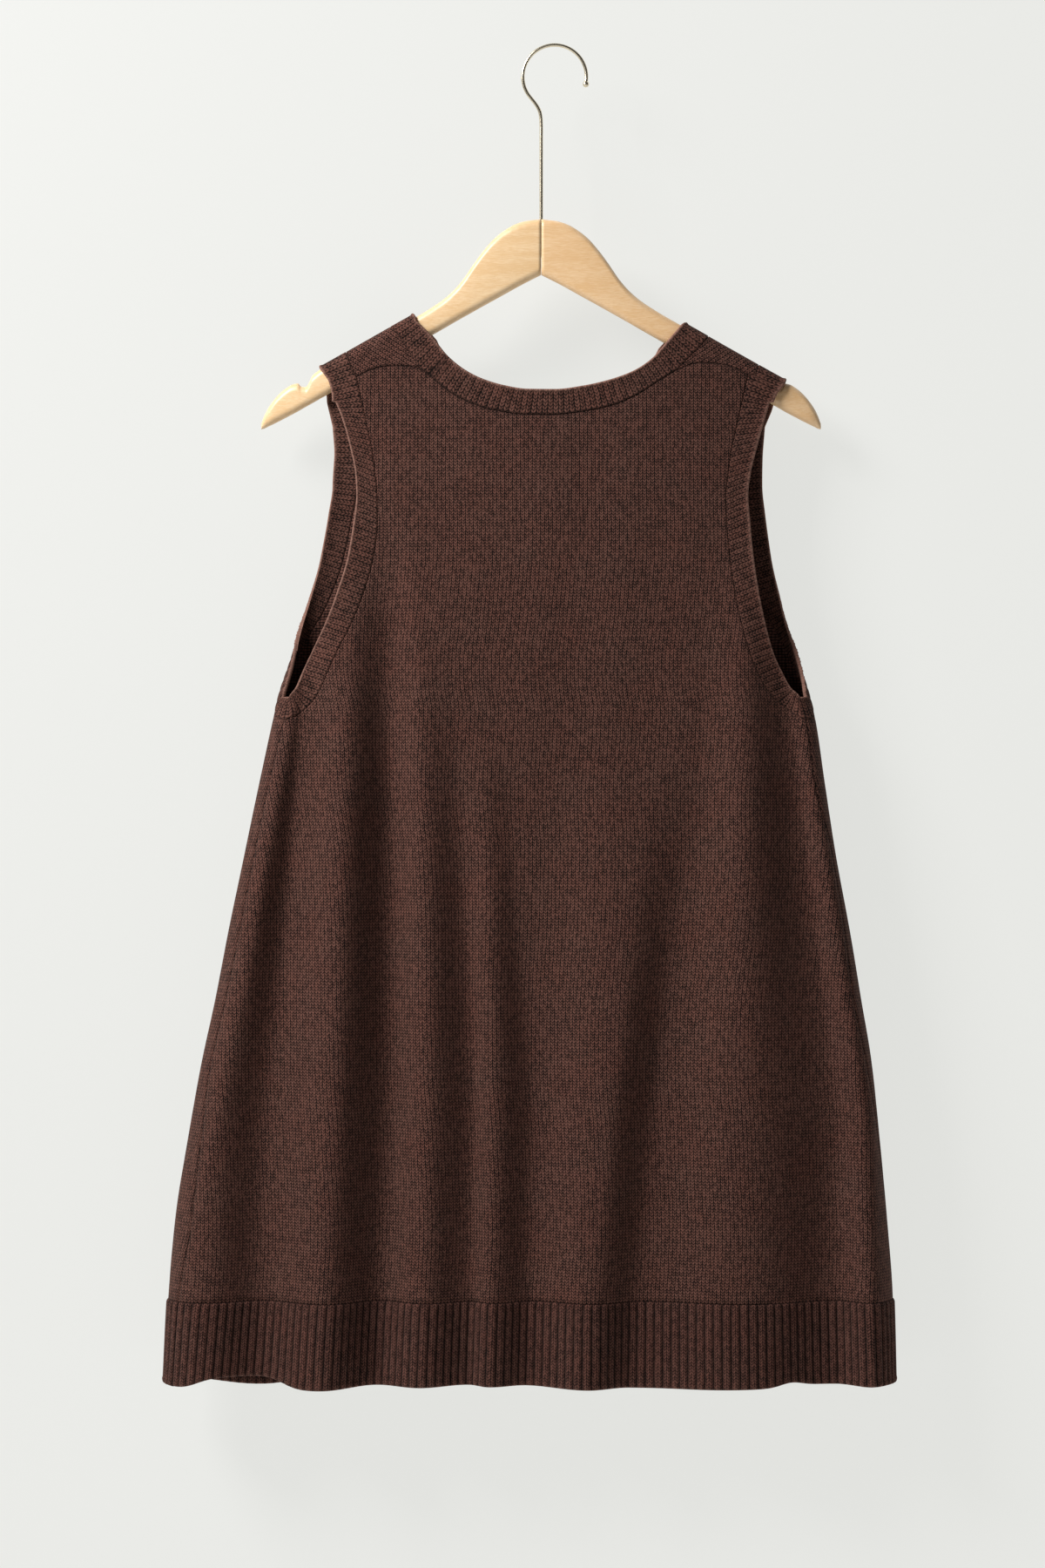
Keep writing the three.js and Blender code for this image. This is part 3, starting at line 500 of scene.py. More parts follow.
# Armholes: where the free edge and the band's seam lie, by height. Near: x. Far: along the cloth
# from the outline, negative where it has come round to the near face.
HOLE_NEAR_Z = [-276, -292, -315, -338, -354, -375, -402, -433, -455, -479, -494, -505, -513, -520, -527, -531]
HOLE_NEAR = {
    "left_edge": [-173, -166.3, -159.7, -155.2, -154.4, -156.7, -161.1, -170.3, -178.5, -189.7, -197, -201.6,
                  -206, -206, -206, -206],
    "left_seam": [-151, -147.4, -142.6, -139.5, -138, -137.8, -141, -149.5, -158, -169.8, -176.6, -181.4,
                  -186, -192, -201, -210.6],
    "right_edge": [172.1, 167.4, 160.9, 155.3, 153.5, 155, 157.4, 162, 166.3, 173, 180.2, 186.6,
                   193.4, 193.4, 193.4, 193.4],
    "right_seam": [151.2, 146.8, 141.2, 138, 136.4, 136.9, 139.3, 143.5, 148, 154.6, 160.5, 166.4,
                   172.8, 181, 190.4, 198.6],
}
HOLE_FAR_Z = [-276, -298, -323, -345, -367, -402, -440, -460, -478, -499, -513, -520, -527, -531]
HOLE_FAR = {
    "left_edge": [35, 24, 19.6, 17.7, 17.8, 16.8, 10.2, 2, -8.4, -13.2, -14, -14, -14, -14],
    "left_seam": [54, 43, 37, 34.5, 34, 32.5, 26, 18, 9.5, 5, 2.6, -1, -8, -20.4],
    "right_edge": [37, 22.5, 17, 17, 17, 17.5, 14.7, 9.5, 1, -8, -13, -13, -13, -13],
    "right_seam": [57, 43, 36, 34.5, 34, 34, 29, 21, 13.5, 6.6, 3.6, -0.4, -7, -18.5],
}
near_hole = {name: along(HOLE_NEAR_Z, values) for name, values in HOLE_NEAR.items()}
far_hole = {name: along(HOLE_FAR_Z, values) for name, values in HOLE_FAR.items()}


def hole_s(side, line, sign, z):
    """The s of an armhole's edge or seam at height z."""
    if sign < 0:
        return -far_hole[side + line](z)
    inset = np.abs(body[side](z) - near_hole[side + line](z))
    return arc_from(inset, 1, z)


def panel_side(side, sign, z):
    """The s at which a panel ends: at its side seam, and above the underarm at its armhole seam."""
    seam = arc_from(body[side + "_seam"](z), 1, z)
    hole = hole_s(side, "_seam", sign, z)
    return np.where(z <= UNDERARM, seam, hole) + sign * SEAM


# The seams on the back: the neck band's, then the shoulders', from JOIN_X of each side outward.
JOIN_X = {"left": -105, "right": 98}
TIP = {"left": (-154.5, -260.4), "right": (154, -258.6)}    # where a shoulder seam meets its armhole band
NECK_SEAM_X = [-105, -93.7, -81.9, -67.7, -48.8, -23.6, 0, 23.8, 47.4, 67.9, 83.6, 98]
NECK_SEAM_Z = [-253.6, -262.4, -272, -280, -286.6, -290.4, -290.8, -288.2, -283, -273.8, -263.4, -254.6]
SHOULDER_X = [-154.5, -148.5, -136.6, -124.6, -113, -105, 98, 105.8, 116.3, 131.2, 144.6, 154]
SHOULDER_Z = [-260.4, -256.9, -253, -251.6, -252.2, -253.6, -254.6, -251.6, -249, -249.8, -253.2, -258.6]
neck_seam, shoulder_seam = along(NECK_SEAM_X, NECK_SEAM_Z), along(SHOULDER_X, SHOULDER_Z)


def panel_top(x):
    """Height of the back panel's upper edge: the neck seam between the shoulder seams."""
    return np.where((x < JOIN_X["left"]) | (x > JOIN_X["right"]), shoulder_seam(x), neck_seam(x))


SKIN_BACK, SKIN_BACK_IN, RIM_OUT = 0.12, 0.3, 0.3        # shares of half the thickness


def cloth_mesh(name, grids, thickness, outer, inner):
    """Cloth of even thickness from grids of (points, stitch counts, relief, shade). Equal points are joined, and each
    skin is the points plus or minus half the thickness along the averaged normals; the relief lifts the outer one. At
    an open edge the skins stop a little short and the rim's middle stands out, which rounds it. shade is painted shade
    down to -1, in sewn lines, rib grooves and the neck band's join, and a painted highlight up to 1 on a chain edge."""
    points = np.concatenate([g[0].reshape(-1, 3) for g in grids])
    stitch = np.concatenate([g[1].reshape(-1, 2) for g in grids])
    relief, shade = (np.concatenate([np.broadcast_to(g[k], g[0].shape[:2]).reshape(-1) for g in grids])
                     for k in (2, 3))
    faces, first = [], 0
    for g in grids:
        faces.append(grid_faces(*g[0].shape[:2], first=first))
        first += g[0].shape[0] * g[0].shape[1]
    faces = np.concatenate(faces)
    rounded = np.round(points * 1000).astype(np.int64)
    _, kept, joined = np.unique(rounded, axis=0, return_index=True, return_inverse=True)
    joined = joined.reshape(-1)
    corner_stitch = stitch[faces]
    faces, points, relief, shade = joined[faces], points[kept], relief[kept], shade[kept]
    diagonals = np.cross(points[faces[:, 2]] - points[faces[:, 0]], points[faces[:, 3]] - points[faces[:, 1]])
    normals = np.zeros_like(points)
    for corner in range(4):
        np.add.at(normals, faces[:, corner], diagonals)
    normals /= np.linalg.norm(normals, axis=1)[:, None] + 1e-12
    edges = np.concatenate([faces[:, [i, (i + 1) % 4]] for i in range(4)])
    edges = edges[edges[:, 0] != edges[:, 1]]
    code = edges[:, 0] * len(points) + edges[:, 1]
    back_code = edges[:, 1] * len(points) + edges[:, 0]
    rim = edges[~np.isin(code, back_code)]
    edge_dir = points[rim[:, 1]] - points[rim[:, 0]]
    outward = np.zeros_like(points)
    for corner in range(2):
        np.add.at(outward, rim[:, corner], np.cross(edge_dir, normals[rim[:, corner]]))
    length = np.linalg.norm(outward, axis=1)[:, None]
    outward = np.where(length > 0, outward / np.maximum(length, 1e-9), 0)
    count, half = len(points), thickness / 2
    skin_out = points + normals * (half + relief)[:, None] - outward * SKIN_BACK * half
    skin_in = points - normals * half - outward * SKIN_BACK_IN * half
    middle = points + normals * (relief / 2)[:, None] + outward * RIM_OUT * half
    all_points = np.concatenate([skin_out, skin_in, middle])
    r0, r1 = rim[:, 0], rim[:, 1]
    rim_out = np.stack([r1, r0, r0 + 2 * count, r1 + 2 * count], 1)
    rim_in = np.stack([r1 + 2 * count, r0 + 2 * count, r0 + count, r1 + count], 1)
    all_faces = np.concatenate([faces, faces[:, ::-1] + count, rim_out, rim_in])
    vertex_stitch = np.zeros((count, 2))
    vertex_stitch[joined] = stitch
    rim_stitch = np.concatenate([vertex_stitch[rim_out % count], vertex_stitch[rim_in % count]])
    loop_stitch = np.concatenate([corner_stitch, corner_stitch[:, ::-1], rim_stitch]).reshape(-1, 2)
    used = np.unique(all_faces)
    renumber = np.zeros(3 * count, int)
    renumber[used] = np.arange(len(used))
    cloth = put_mesh(name, all_points[used], renumber[all_faces])
    cloth.data.uv_layers.new(name="stitches").data.foreach_set("uv", loop_stitch.ravel())
    cloth.data.attributes.new("shade", "FLOAT", "POINT").data.foreach_set("value", np.tile(shade, 3)[used])
    cloth.data.materials.append(outer)
    cloth.data.materials.append(inner)
    side = np.concatenate([np.zeros(len(faces)), np.ones(len(faces)), np.zeros(2 * len(rim))])
    cloth.data.polygons.foreach_set("material_index", side.astype(np.int32))
    return cloth


def knit(name, look, face="plain"):
    """Wool yarn knitted in rows. The stitch counts give one unit a wale across and one a course up. On the right side
    each wale has two legs, sine humps across it, cut into loops by a sine along a course that slants down to the wale's
    border; on the wrong side the loops are purl bars. Height sets the colour from painted shade in the gaps between the
    loops to the yarn's lit colour on them, with a chance for each loop and the yarn's fuzz. The shade attribute adds
    painted shade along seams and grooves and a painted highlight on chain edges."""
    material, tree, shader, node = new_material(name)

    def calc(operation, a, b=0.0, clamp=False):
        return node("ShaderNodeMath", {0: a, 1: b}, operation=operation, use_clamp=clamp).outputs[0]

    stitch = node("ShaderNodeSeparateXYZ", {0: node("ShaderNodeUVMap", uv_map="stitches").outputs[0]})
    wale, course = stitch.outputs[0], stitch.outputs[1]
    place = node("ShaderNodeTexCoord").outputs["Object"]
    wander = node("ShaderNodeTexNoise", {"Vector": place, "Scale": 220.0, "Detail": 2.0})
    shift = calc("MULTIPLY", calc("SUBTRACT", wander.outputs["Fac"], 0.5), 0.3)
    wale, course = calc("ADD", wale, shift), calc("ADD", course, shift)
    border = calc("MULTIPLY", calc("ABSOLUTE", calc("SUBTRACT", calc("FRACT", wale), 0.5)), 2.0)
    if face == "wrong":
        bar = calc("SINE", calc("MULTIPLY", calc("FRACT", course), math.pi))
        height = calc("MULTIPLY", calc("POWER", bar, 0.8), calc("ADD", 0.5, calc("MULTIPLY", border, 0.5)))
        loop_course = calc("FLOOR", course)
    else:
        leg = calc("ADD", 0.5, calc("MULTIPLY", calc("SINE", calc("MULTIPLY", border, math.pi)), 0.5))
        leg = calc("SUBTRACT", leg, calc("MULTIPLY", calc("POWER", border, 5.0), look["furrow"]), clamp=True)
        slanted = calc("SUBTRACT", course, calc("MULTIPLY", border, 0.8))
        loop = calc("SINE", calc("MULTIPLY", calc("FRACT", slanted), math.pi))
        height = calc("MULTIPLY", leg, calc("ADD", 1 - look["gap"], calc("MULTIPLY", loop, look["gap"])))
        loop_course = calc("FLOOR", slanted)
    one_loop = node("ShaderNodeCombineXYZ", {0: calc("FLOOR", calc("MULTIPLY", wale, 2.0)), 1: loop_course})
    chance = node("ShaderNodeTexWhiteNoise", {"Vector": one_loop.outputs[0]}, noise_dimensions="2D").outputs["Value"]
    fuzz = node("ShaderNodeTexNoise", {"Vector": place, "Scale": 1500.0, "Detail": 3.0, "Roughness": 0.7})
    patches = node("ShaderNodeTexNoise", {"Vector": place, "Scale": 34.0, "Detail": 6.0, "Roughness": 0.7})
    uneven = calc("ADD", calc("SUBTRACT", chance, 0.5), calc("SUBTRACT", fuzz.outputs["Fac"], 0.5))
    uneven = calc("MULTIPLY", uneven, 0.4)
    # The valley colour is painted shade in the gaps between the loops; the ridge colour is the yarn as lit.
    lit = node("ShaderNodeMapRange", {"Value": calc("ADD", height, uneven), "From Min": 0.1, "From Max": 1.0},
               interpolation_type="SMOOTHSTEP").outputs[0]
    yarn = node("ShaderNodeMix", {"Factor": lit}, data_type="RGBA")
    yarn.inputs["A"].default_value, yarn.inputs["B"].default_value = look["shaded_valley"], look["ridge"]
    heather = calc("MULTIPLY", calc("SUBTRACT", patches.outputs["Fac"], 0.5), 1.8)
    heather = calc("ADD", heather, 0.4, clamp=True)
    warmed = node("ShaderNodeMix", {"Factor": heather}, data_type="RGBA", blend_type="MULTIPLY")
    tree.links.new(yarn.outputs["Result"], warmed.inputs["A"])
    warmed.inputs["B"].default_value = look["heather"]
    # The shade attribute paints shade, down to near black, along seams, in rib grooves and at the neck band's join. It
    # also paints a highlight on chain edges.
    shade = node("ShaderNodeAttribute", attribute_name="shade").outputs["Fac"]
    seam_shade = node("ShaderNodeMapRange", {"Value": shade, "From Min": -1.0, "From Max": 0.0,
                                       "To Min": 0.72, "To Max": 0.0}).outputs[0]
    edge = node("ShaderNodeMapRange", {"Value": shade, "To Max": 0.8}).outputs[0]
    darker = node("ShaderNodeMix", {"Factor": seam_shade}, data_type="RGBA")
    tree.links.new(warmed.outputs["Result"], darker.inputs["A"])
    darker.inputs["B"].default_value = srgb(12, 8, 7)
    lighter = node("ShaderNodeMix", {"Factor": edge}, data_type="RGBA")
    tree.links.new(darker.outputs["Result"], lighter.inputs["A"])
    lighter.inputs["B"].default_value = srgb(146, 110, 98)
    tree.links.new(lighter.outputs["Result"], shader.inputs["Base Color"])
    relief = calc("ADD", height, calc("MULTIPLY", fuzz.outputs["Fac"], 0.25))
    bump = node("ShaderNodeBump", {"Height": relief, "Strength": 0.45, "Distance": 0.0005})
    tree.links.new(bump.outputs["Normal"], shader.inputs["Normal"])
    shader.inputs["Roughness"].default_value = 0.95
    shader.inputs["Specular IOR Level"].default_value = 0.15
    shader.inputs["Sheen Weight"].default_value = 0.06
    shader.inputs["Sheen Roughness"].default_value = 0.6
    shader.inputs["Sheen Tint"].default_value = srgb(190, 160, 145)
    return material


# The yarn: painted shade between the stitches and its lit colour on them, in patches warmer by heather. gap is how deep
# the loops are cut from each other, and furrow how deep the wales are.
BROWN = {"shaded_valley": srgb(12, 7, 6), "ridge": srgb(111, 79, 70), "heather": (1.0, 0.8, 0.76, 1.0),
         "gap": 0.92, "furrow": 0.75}
knit_plain = knit("plain_knit", BROWN)
knit_wrong = knit("purl_side", BROWN, "wrong")


SEWN_WIDE, SEWN_STITCH = 1.1, 3.4


# Its value dips the cloth along a seam, at half depth as relief, and darkens it there as painted shade.
def sewn_line(points, **sides):
    """Minus each named border's depth at that border (left, right or top) of a grid of points, fading
    to 0 as a bell of the distance along the cloth, and broken up into stitches by a wave along the
    border."""
    step_across = np.linalg.norm(np.diff(points, axis=1), axis=2)
    run = np.concatenate([np.zeros((len(points), 1)), np.cumsum(step_across, 1)], 1)
    step_up = np.linalg.norm(np.diff(points, axis=0), axis=2)
    climb = np.concatenate([np.zeros((1, points.shape[1])), np.cumsum(step_up, 0)], 0)
    away = {"left": run, "right": run[:, -1:] - run, "top": climb[-1:] - climb}
    beside = {"left": climb, "right": climb, "top": run}
    depth = [deep * np.exp(-(away[side] / SEWN_WIDE) ** 2)
             * (0.6 + 0.4 * np.sin(beside[side] * 2 * np.pi / SEWN_STITCH)) for side, deep in sides.items()]
    return -np.max(depth, axis=0)


# Level rows up to the chest, then rows that bend up to the neck and shoulder seams. The side seams are sewn lines,
# dipped and darkened with painted shade up to the underarms; the armhole bands' seams hardly show.
UNDER_TURN = -505                # rows stand close from the underarm up to here, where the seam turns
low_z = np.concatenate([np.linspace(HEM_TOP + SEAM, UNDERARM, 108), np.linspace(UNDERARM, UNDER_TURN, 16)[1:],
                        np.linspace(UNDER_TURN, CHEST, 42)[1:]])
f = np.linspace(0, 1, 209)
low = face_row(panel_side("left", 1, low_z), panel_side("right", 1, low_z), low_z, 1, f)
top_x = mixed(TIP["left"][0] + SEAM, TIP["right"][0] - SEAM, f)
rise = np.linspace(0, 1, 28)[1:, None]
high_x = mixed(low[-1, :, 0] + SEAT_X, top_x, rise)
high_z = mixed(CHEST, panel_top(top_x) - SEAM, rise)
back_points = np.concatenate([low, on_face(high_x, high_z, 1)])
middle_x = low[-1, len(f) // 2, 0] + SEAT_X
back_wales = np.concatenate([across(low), high_x - middle_x]) / WALE
back_courses = back_points[:, :, 2] / COURSE
back_seam = sewn_line(back_points, left=0.4, right=0.4, top=1.0)
back_seam[low_z.size:] = sewn_line(back_points, top=1.0)[low_z.size:]
back_seam[:low_z.size][low_z > UNDERARM] *= 0.15
# Half of the seam values make the seam's dip in the relief, and all of them are painted shade along the seams.
back_grid = (back_points, np.stack([back_wales, back_courses], -1), 0.5 * back_seam, back_seam)
back_panel = cloth_mesh("knit_back", [back_grid], PANEL, knit_plain, knit_wrong)
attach(back_panel, "root")
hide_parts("back_panel")

# ---- Front panel -----------------------------------------------------------------------
# The same knit. It wraps a little round both sides to the side seams, is cut to a V at the
# neck, and its two straps go over the hanger and down the back to the shoulder seams.
V_LOW, V_LIFT, V_BOW = -425, 38, 5    # foot of the V's seam, its band's width there, and its sides' bow
STRAP_LOW, STRAP_Q = -298, -34         # level rows end at this height; rows over the arm start at this q
STRAP_LEAN = math.radians(28)          # slope of the hanger's arm
# Where the lines on a strap lie as it goes over the arm: x by q.
OVER_Q = [-34, -18, -6, 0, 6, 12, 20, 32]
OVER = {
    "left_edge": [-178.8, -180, -183.4, -184.4, -183.4, -180.4, -176.6, -174],
    "left_seam": [-159.5, -161, -162.6, -163, -162.4, -160.6, -157.4, -153],
    "left_neck_seam": [-110, -119, -126, -128, -126.4, -122.6, -118.6, -113],
    "left_neck": [-92, -101, -108, -109.7, -108.4, -105.4, -101.4, -96],
    "right_neck": [84, 94, 103, 104.6, 103.8, 101.6, 98.6, 94],
    "right_neck_seam": [103, 113, 121, 122.5, 121.4, 118.4, 114.6, 109],
    "right_seam": [160, 161.6, 162.4, 162.6, 162, 160.4, 157.4, 153],
    "right_edge": [173.4, 178, 183.6, 184.6, 183.8, 181, 176.6, 173],
}
over = {name: along(OVER_Q, values) for name, values in OVER.items()}

front_z = np.concatenate([np.linspace(HEM_TOP + SEAM, UNDERARM, 104), np.linspace(UNDERARM, UNDER_TURN, 16)[1:],
                          np.linspace(UNDER_TURN, V_LOW, 20)[1:]])
HALF = 88                        # columns on each side of the V's foot
front_f = np.linspace(0, 1, 2 * HALF + 1)
front_low = face_row(panel_side("left", -1, front_z), panel_side("right", -1, front_z), front_z, -1, front_f)
foot_x = front_low[-1, HALF, 0] + SEAT_X


def strap_z(x):
    """Height on the far face at x where q is STRAP_Q: the ridge, less the turn and what hangs below it."""
    return ridge(x) - TURN - (-STRAP_Q - TURN_ARC)


def vee_x(side, z, lift=0):
    """x of the V's seam line at height z, or of its free edge where the foot is lifted: straight from
    the shoulder to the foot, and bowed out by a half sine wave."""
    edge = -1 if side == "left" else 1
    name = side + ("_neck" if lift else "_neck_seam")
    start_x = over[name](STRAP_Q)
    start_z = strap_z(start_x)
    t = np.clip((start_z - z) / (start_z - V_LOW - lift), 0, 1)
    return mixed(start_x, foot_x, t) + edge * V_BOW * np.sin(np.pi * t)


def unrolled(x, q, edge):
    """The stitches of a strap that has turned over the sloping arm: the near part mirrored about the
    arm's line, which leans its wales."""
    near = np.maximum(q, 0)
    wales = x + edge * 2 * near * math.cos(STRAP_LEAN) * math.sin(STRAP_LEAN)
    courses = ridge(x) - np.abs(q) + 2 * near * math.cos(STRAP_LEAN) ** 2
    return np.stack([(wales - foot_x) / WALE, courses / COURSE], -1)


def strap(side):
    """Places of one strap: level rows above the V's foot, then rows over the arm, then the slope down
    to the shoulder seam."""
    edge = -1 if side == "left" else 1
    share = np.linspace(0, 1, HALF + 1)[None, :]
    foot_row = front_low[-1, :HALF + 1] if edge < 0 else front_low[-1, HALF:][::-1]
    z = np.linspace(V_LOW, STRAP_LOW, 33)[1:, None]
    outer = hole_s(side, "_seam", -1, z) - SEAM
    inset = np.abs(body[side](z) - vee_x(side, z)) + SEAM
    inner = -arc_from(inset, -1, z)
    level = on_side(edge, mixed(outer, inner, share), z)
    last_x = level[-1, :, 0] + SEAT_X
    last_q = top_arc(last_x, STRAP_LOW, -1)
    q = np.linspace(STRAP_Q, TURN_ARC, 36)[:, None]
    turn_x = mixed(over[side + "_seam"](q) - edge * SEAM, over[side + "_neck_seam"](q) + edge * SEAM, share)
    t = np.linspace(0, 1, 12)[1:-1, None]
    rise_x, rise_q = mixed(last_x, turn_x[0], t), mixed(last_q, STRAP_Q, t)
    end_x = mixed(TIP[side][0] - edge * SEAM, JOIN_X[side] + edge * SEAM, share[0])
    end_q = top_arc(end_x, shoulder_seam(end_x) + SEAM, 1)
    down = np.linspace(0, 1, 14)[1:, None]
    fall_x, fall_q = mixed(turn_x[-1], end_x, down), mixed(TURN_ARC, end_q, down)
    all_x = np.concatenate([rise_x, turn_x, fall_x])
    all_q = np.concatenate([rise_q, np.broadcast_to(q, turn_x.shape), fall_q])
    points = np.concatenate([foot_row[None], level, over_arm(all_x, all_q)])
    flat = np.concatenate([foot_row[None], level])
    stitches = np.stack([(flat[:, :, 0] + SEAT_X - foot_x) / WALE, flat[:, :, 2] / COURSE], -1)
    stitches = np.concatenate([stitches, unrolled(all_x, all_q, edge)])
    if edge > 0:
        points, stitches = points[:, ::-1], stitches[:, ::-1]
    # The seam's dip, and painted shade along the seams.
    seam = sewn_line(points, left=0.15, right=0.15, top=1.0)
    return tuple(grid[:, ::-1] for grid in (points, stitches, 0.5 * seam, seam))


front_stitches = np.stack([across(front_low) / WALE, front_low[:, :, 2] / COURSE], -1)
# The side seams' dip, and painted shade along them.
front_seam = sewn_line(front_low, left=0.3, right=0.3)[:, ::-1]
front_body = (front_low[:, ::-1], front_stitches[:, ::-1], 0.5 * front_seam, front_seam)
front_panel = cloth_mesh("knit_front", [front_body, strap("left"), strap("right")], PANEL, knit_plain, knit_wrong)
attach(front_panel, "root")
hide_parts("front_panel")

# ---- Hem ribs --------------------------------------------------------------------------
# A band of deep ribs on each panel, two wales to a rib, knitted down from the plain knit and
# cast off in a chain. Its lower edge is level but for small lifts beside the deepest folds.
RIB = 2.0
HEM_RIB, RIB_HIGH = 6.9, 1.5     # width of a rib and how far it stands out
RIB_STEPS = 10                   # columns to a rib
knit_rib = knit("rib_knit", {**BROWN, "ridge": srgb(101, 71, 63), "gap": 0.75, "furrow": 0.3})


def rib_relief(phase):
    """Height of a rib over its width, phase 0 to 1: a plump half wave with a narrow groove at its ends
    and a faint furrow down its middle."""
    plump = np.abs(np.sin(np.pi * phase)) ** 0.6
    furrow = np.exp(-((phase - 0.5) / 0.09) ** 2)
    return RIB_HIGH * (plump - 0.13 * furrow)


def even_steps(points, count):
    """Shares of a row's parameter at which count + 1 points lie evenly along it."""
    run = np.concatenate([[0], np.cumsum(np.linalg.norm(np.diff(points, axis=0), axis=1))])
    return np.interp(np.linspace(0, run[-1], count + 1), run, np.linspace(0, 1, len(points)))


def hem_rib(name, node_name, sign):
    """One hem: level rows below the panel's last one, bowed by the small lifts, with the ribs upright.
    On the near side the lifts are bells beside two folds; on the far one the cloth sags a little, so that it shows
    below the near hem's lift at the left."""
    def rows(z, f):
        return face_row(panel_side("left", sign, z), panel_side("right", sign, z), z, sign, f)

    middle = rows(np.array([(HEM_TOP + HEM_LOW) / 2]), np.linspace(0, 1, 2001))[0]
    length = np.linalg.norm(np.diff(middle, axis=0), axis=1).sum()
    ribs = round(length / HEM_RIB)
    f = even_steps(middle, ribs * RIB_STEPS)
    down = np.concatenate([[0, 0.015, 0.035], np.linspace(0.07, 0.93, 10), [0.96, 0.98, 1.0]])
    z = mixed(HEM_TOP - SEAM, HEM_LOW, down)
    points = rows(z, f)
    x = points[-1, :, 0] + SEAT_X
    if sign > 0:
        lifts = 9 * np.exp(-((x + 245) / 36) ** 4) + 3 * np.exp(-((x - 186) / 12) ** 2)
    else:
        lifts = -3.5 * np.exp(-((x + 234) / 36) ** 2)
    points[:, :, 2] += down[:, None] ** 3 * (lifts - 1.2 * np.sin(x / 47))
    phase = np.arange(ribs * RIB_STEPS + 1) / RIB_STEPS
    fade = np.minimum(1, np.minimum(down / 0.035 + 0.25, (1 - down) / 0.03 + 0.55))[:, None]
    relief = rib_relief(phase % 1)[None] * fade
    chain = np.exp(-((down - 0.965) / 0.018) ** 2)[:, None] * (0.35 + 0.2 * np.cos(4 * np.pi * phase))[None]
    stitches = np.stack(np.broadcast_arrays(2 * phase[None], (z / COURSE)[:, None]), -1)
    # Painted shade in the grooves between the ribs, and a painted highlight on the cast-off chain at the lower edge.
    groove = ((0.5 + 0.5 * np.cos(2 * np.pi * phase)) ** 3)[None]
    shade = np.broadcast_to(0.3 * np.exp(-((1 - down) / 0.03) ** 2)[:, None] - groove, relief.shape)
    grids = (points, stitches, relief + chain, np.clip(shade, -1, 1))
    if sign > 0:
        grids = tuple(grid[::-1] for grid in grids)
    hem = cloth_mesh(name, [grids], RIB, knit_rib, knit_rib)
    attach(hem, "root")
    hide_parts(node_name)


hem_rib("rib_hem_back", "back_hem_rib", 1)
hem_rib("rib_hem_front", "front_hem_rib", -1)

# ---- Neck and armhole bands ------------------------------------------------------------
# Narrow ribbed bands picked up round each opening and knitted outward, about seven courses
# deep, with their ribs across the band and a thin cast-off chain along the free edge.
BAND_RIB, BAND_HIGH, BAND_COURSES = 8.3, 0.36, 7     # rib's width, share of a hem rib's height, courses
knit_band = knit("band_knit", {**BROWN, "ridge": srgb(106, 75, 66), "gap": 0.8, "furrow": 0.5})
NECK_X = [-107.5, -96.1, -81.9, -67.7, -55, -39, -20, 2, 24, 44, 63, 77.3, 90, 99.6]
NECK_Z = [-216.6, -228.1, -245.4, -256.4, -262.7, -267.6, -270.6, -270.8, -268, -263.4, -256.4, -247, -232.8, -221.7]
neck_edge = along(NECK_X, NECK_Z)


def even_curve(curve, place, count=241):
    """A two-number curve over 0 to 1, resampled to even steps of the length of its places."""
    t = np.linspace(0, 1, 1201)
    a, b = curve(t)
    f = even_steps(place(a, b), count - 1)
    return curve(f)


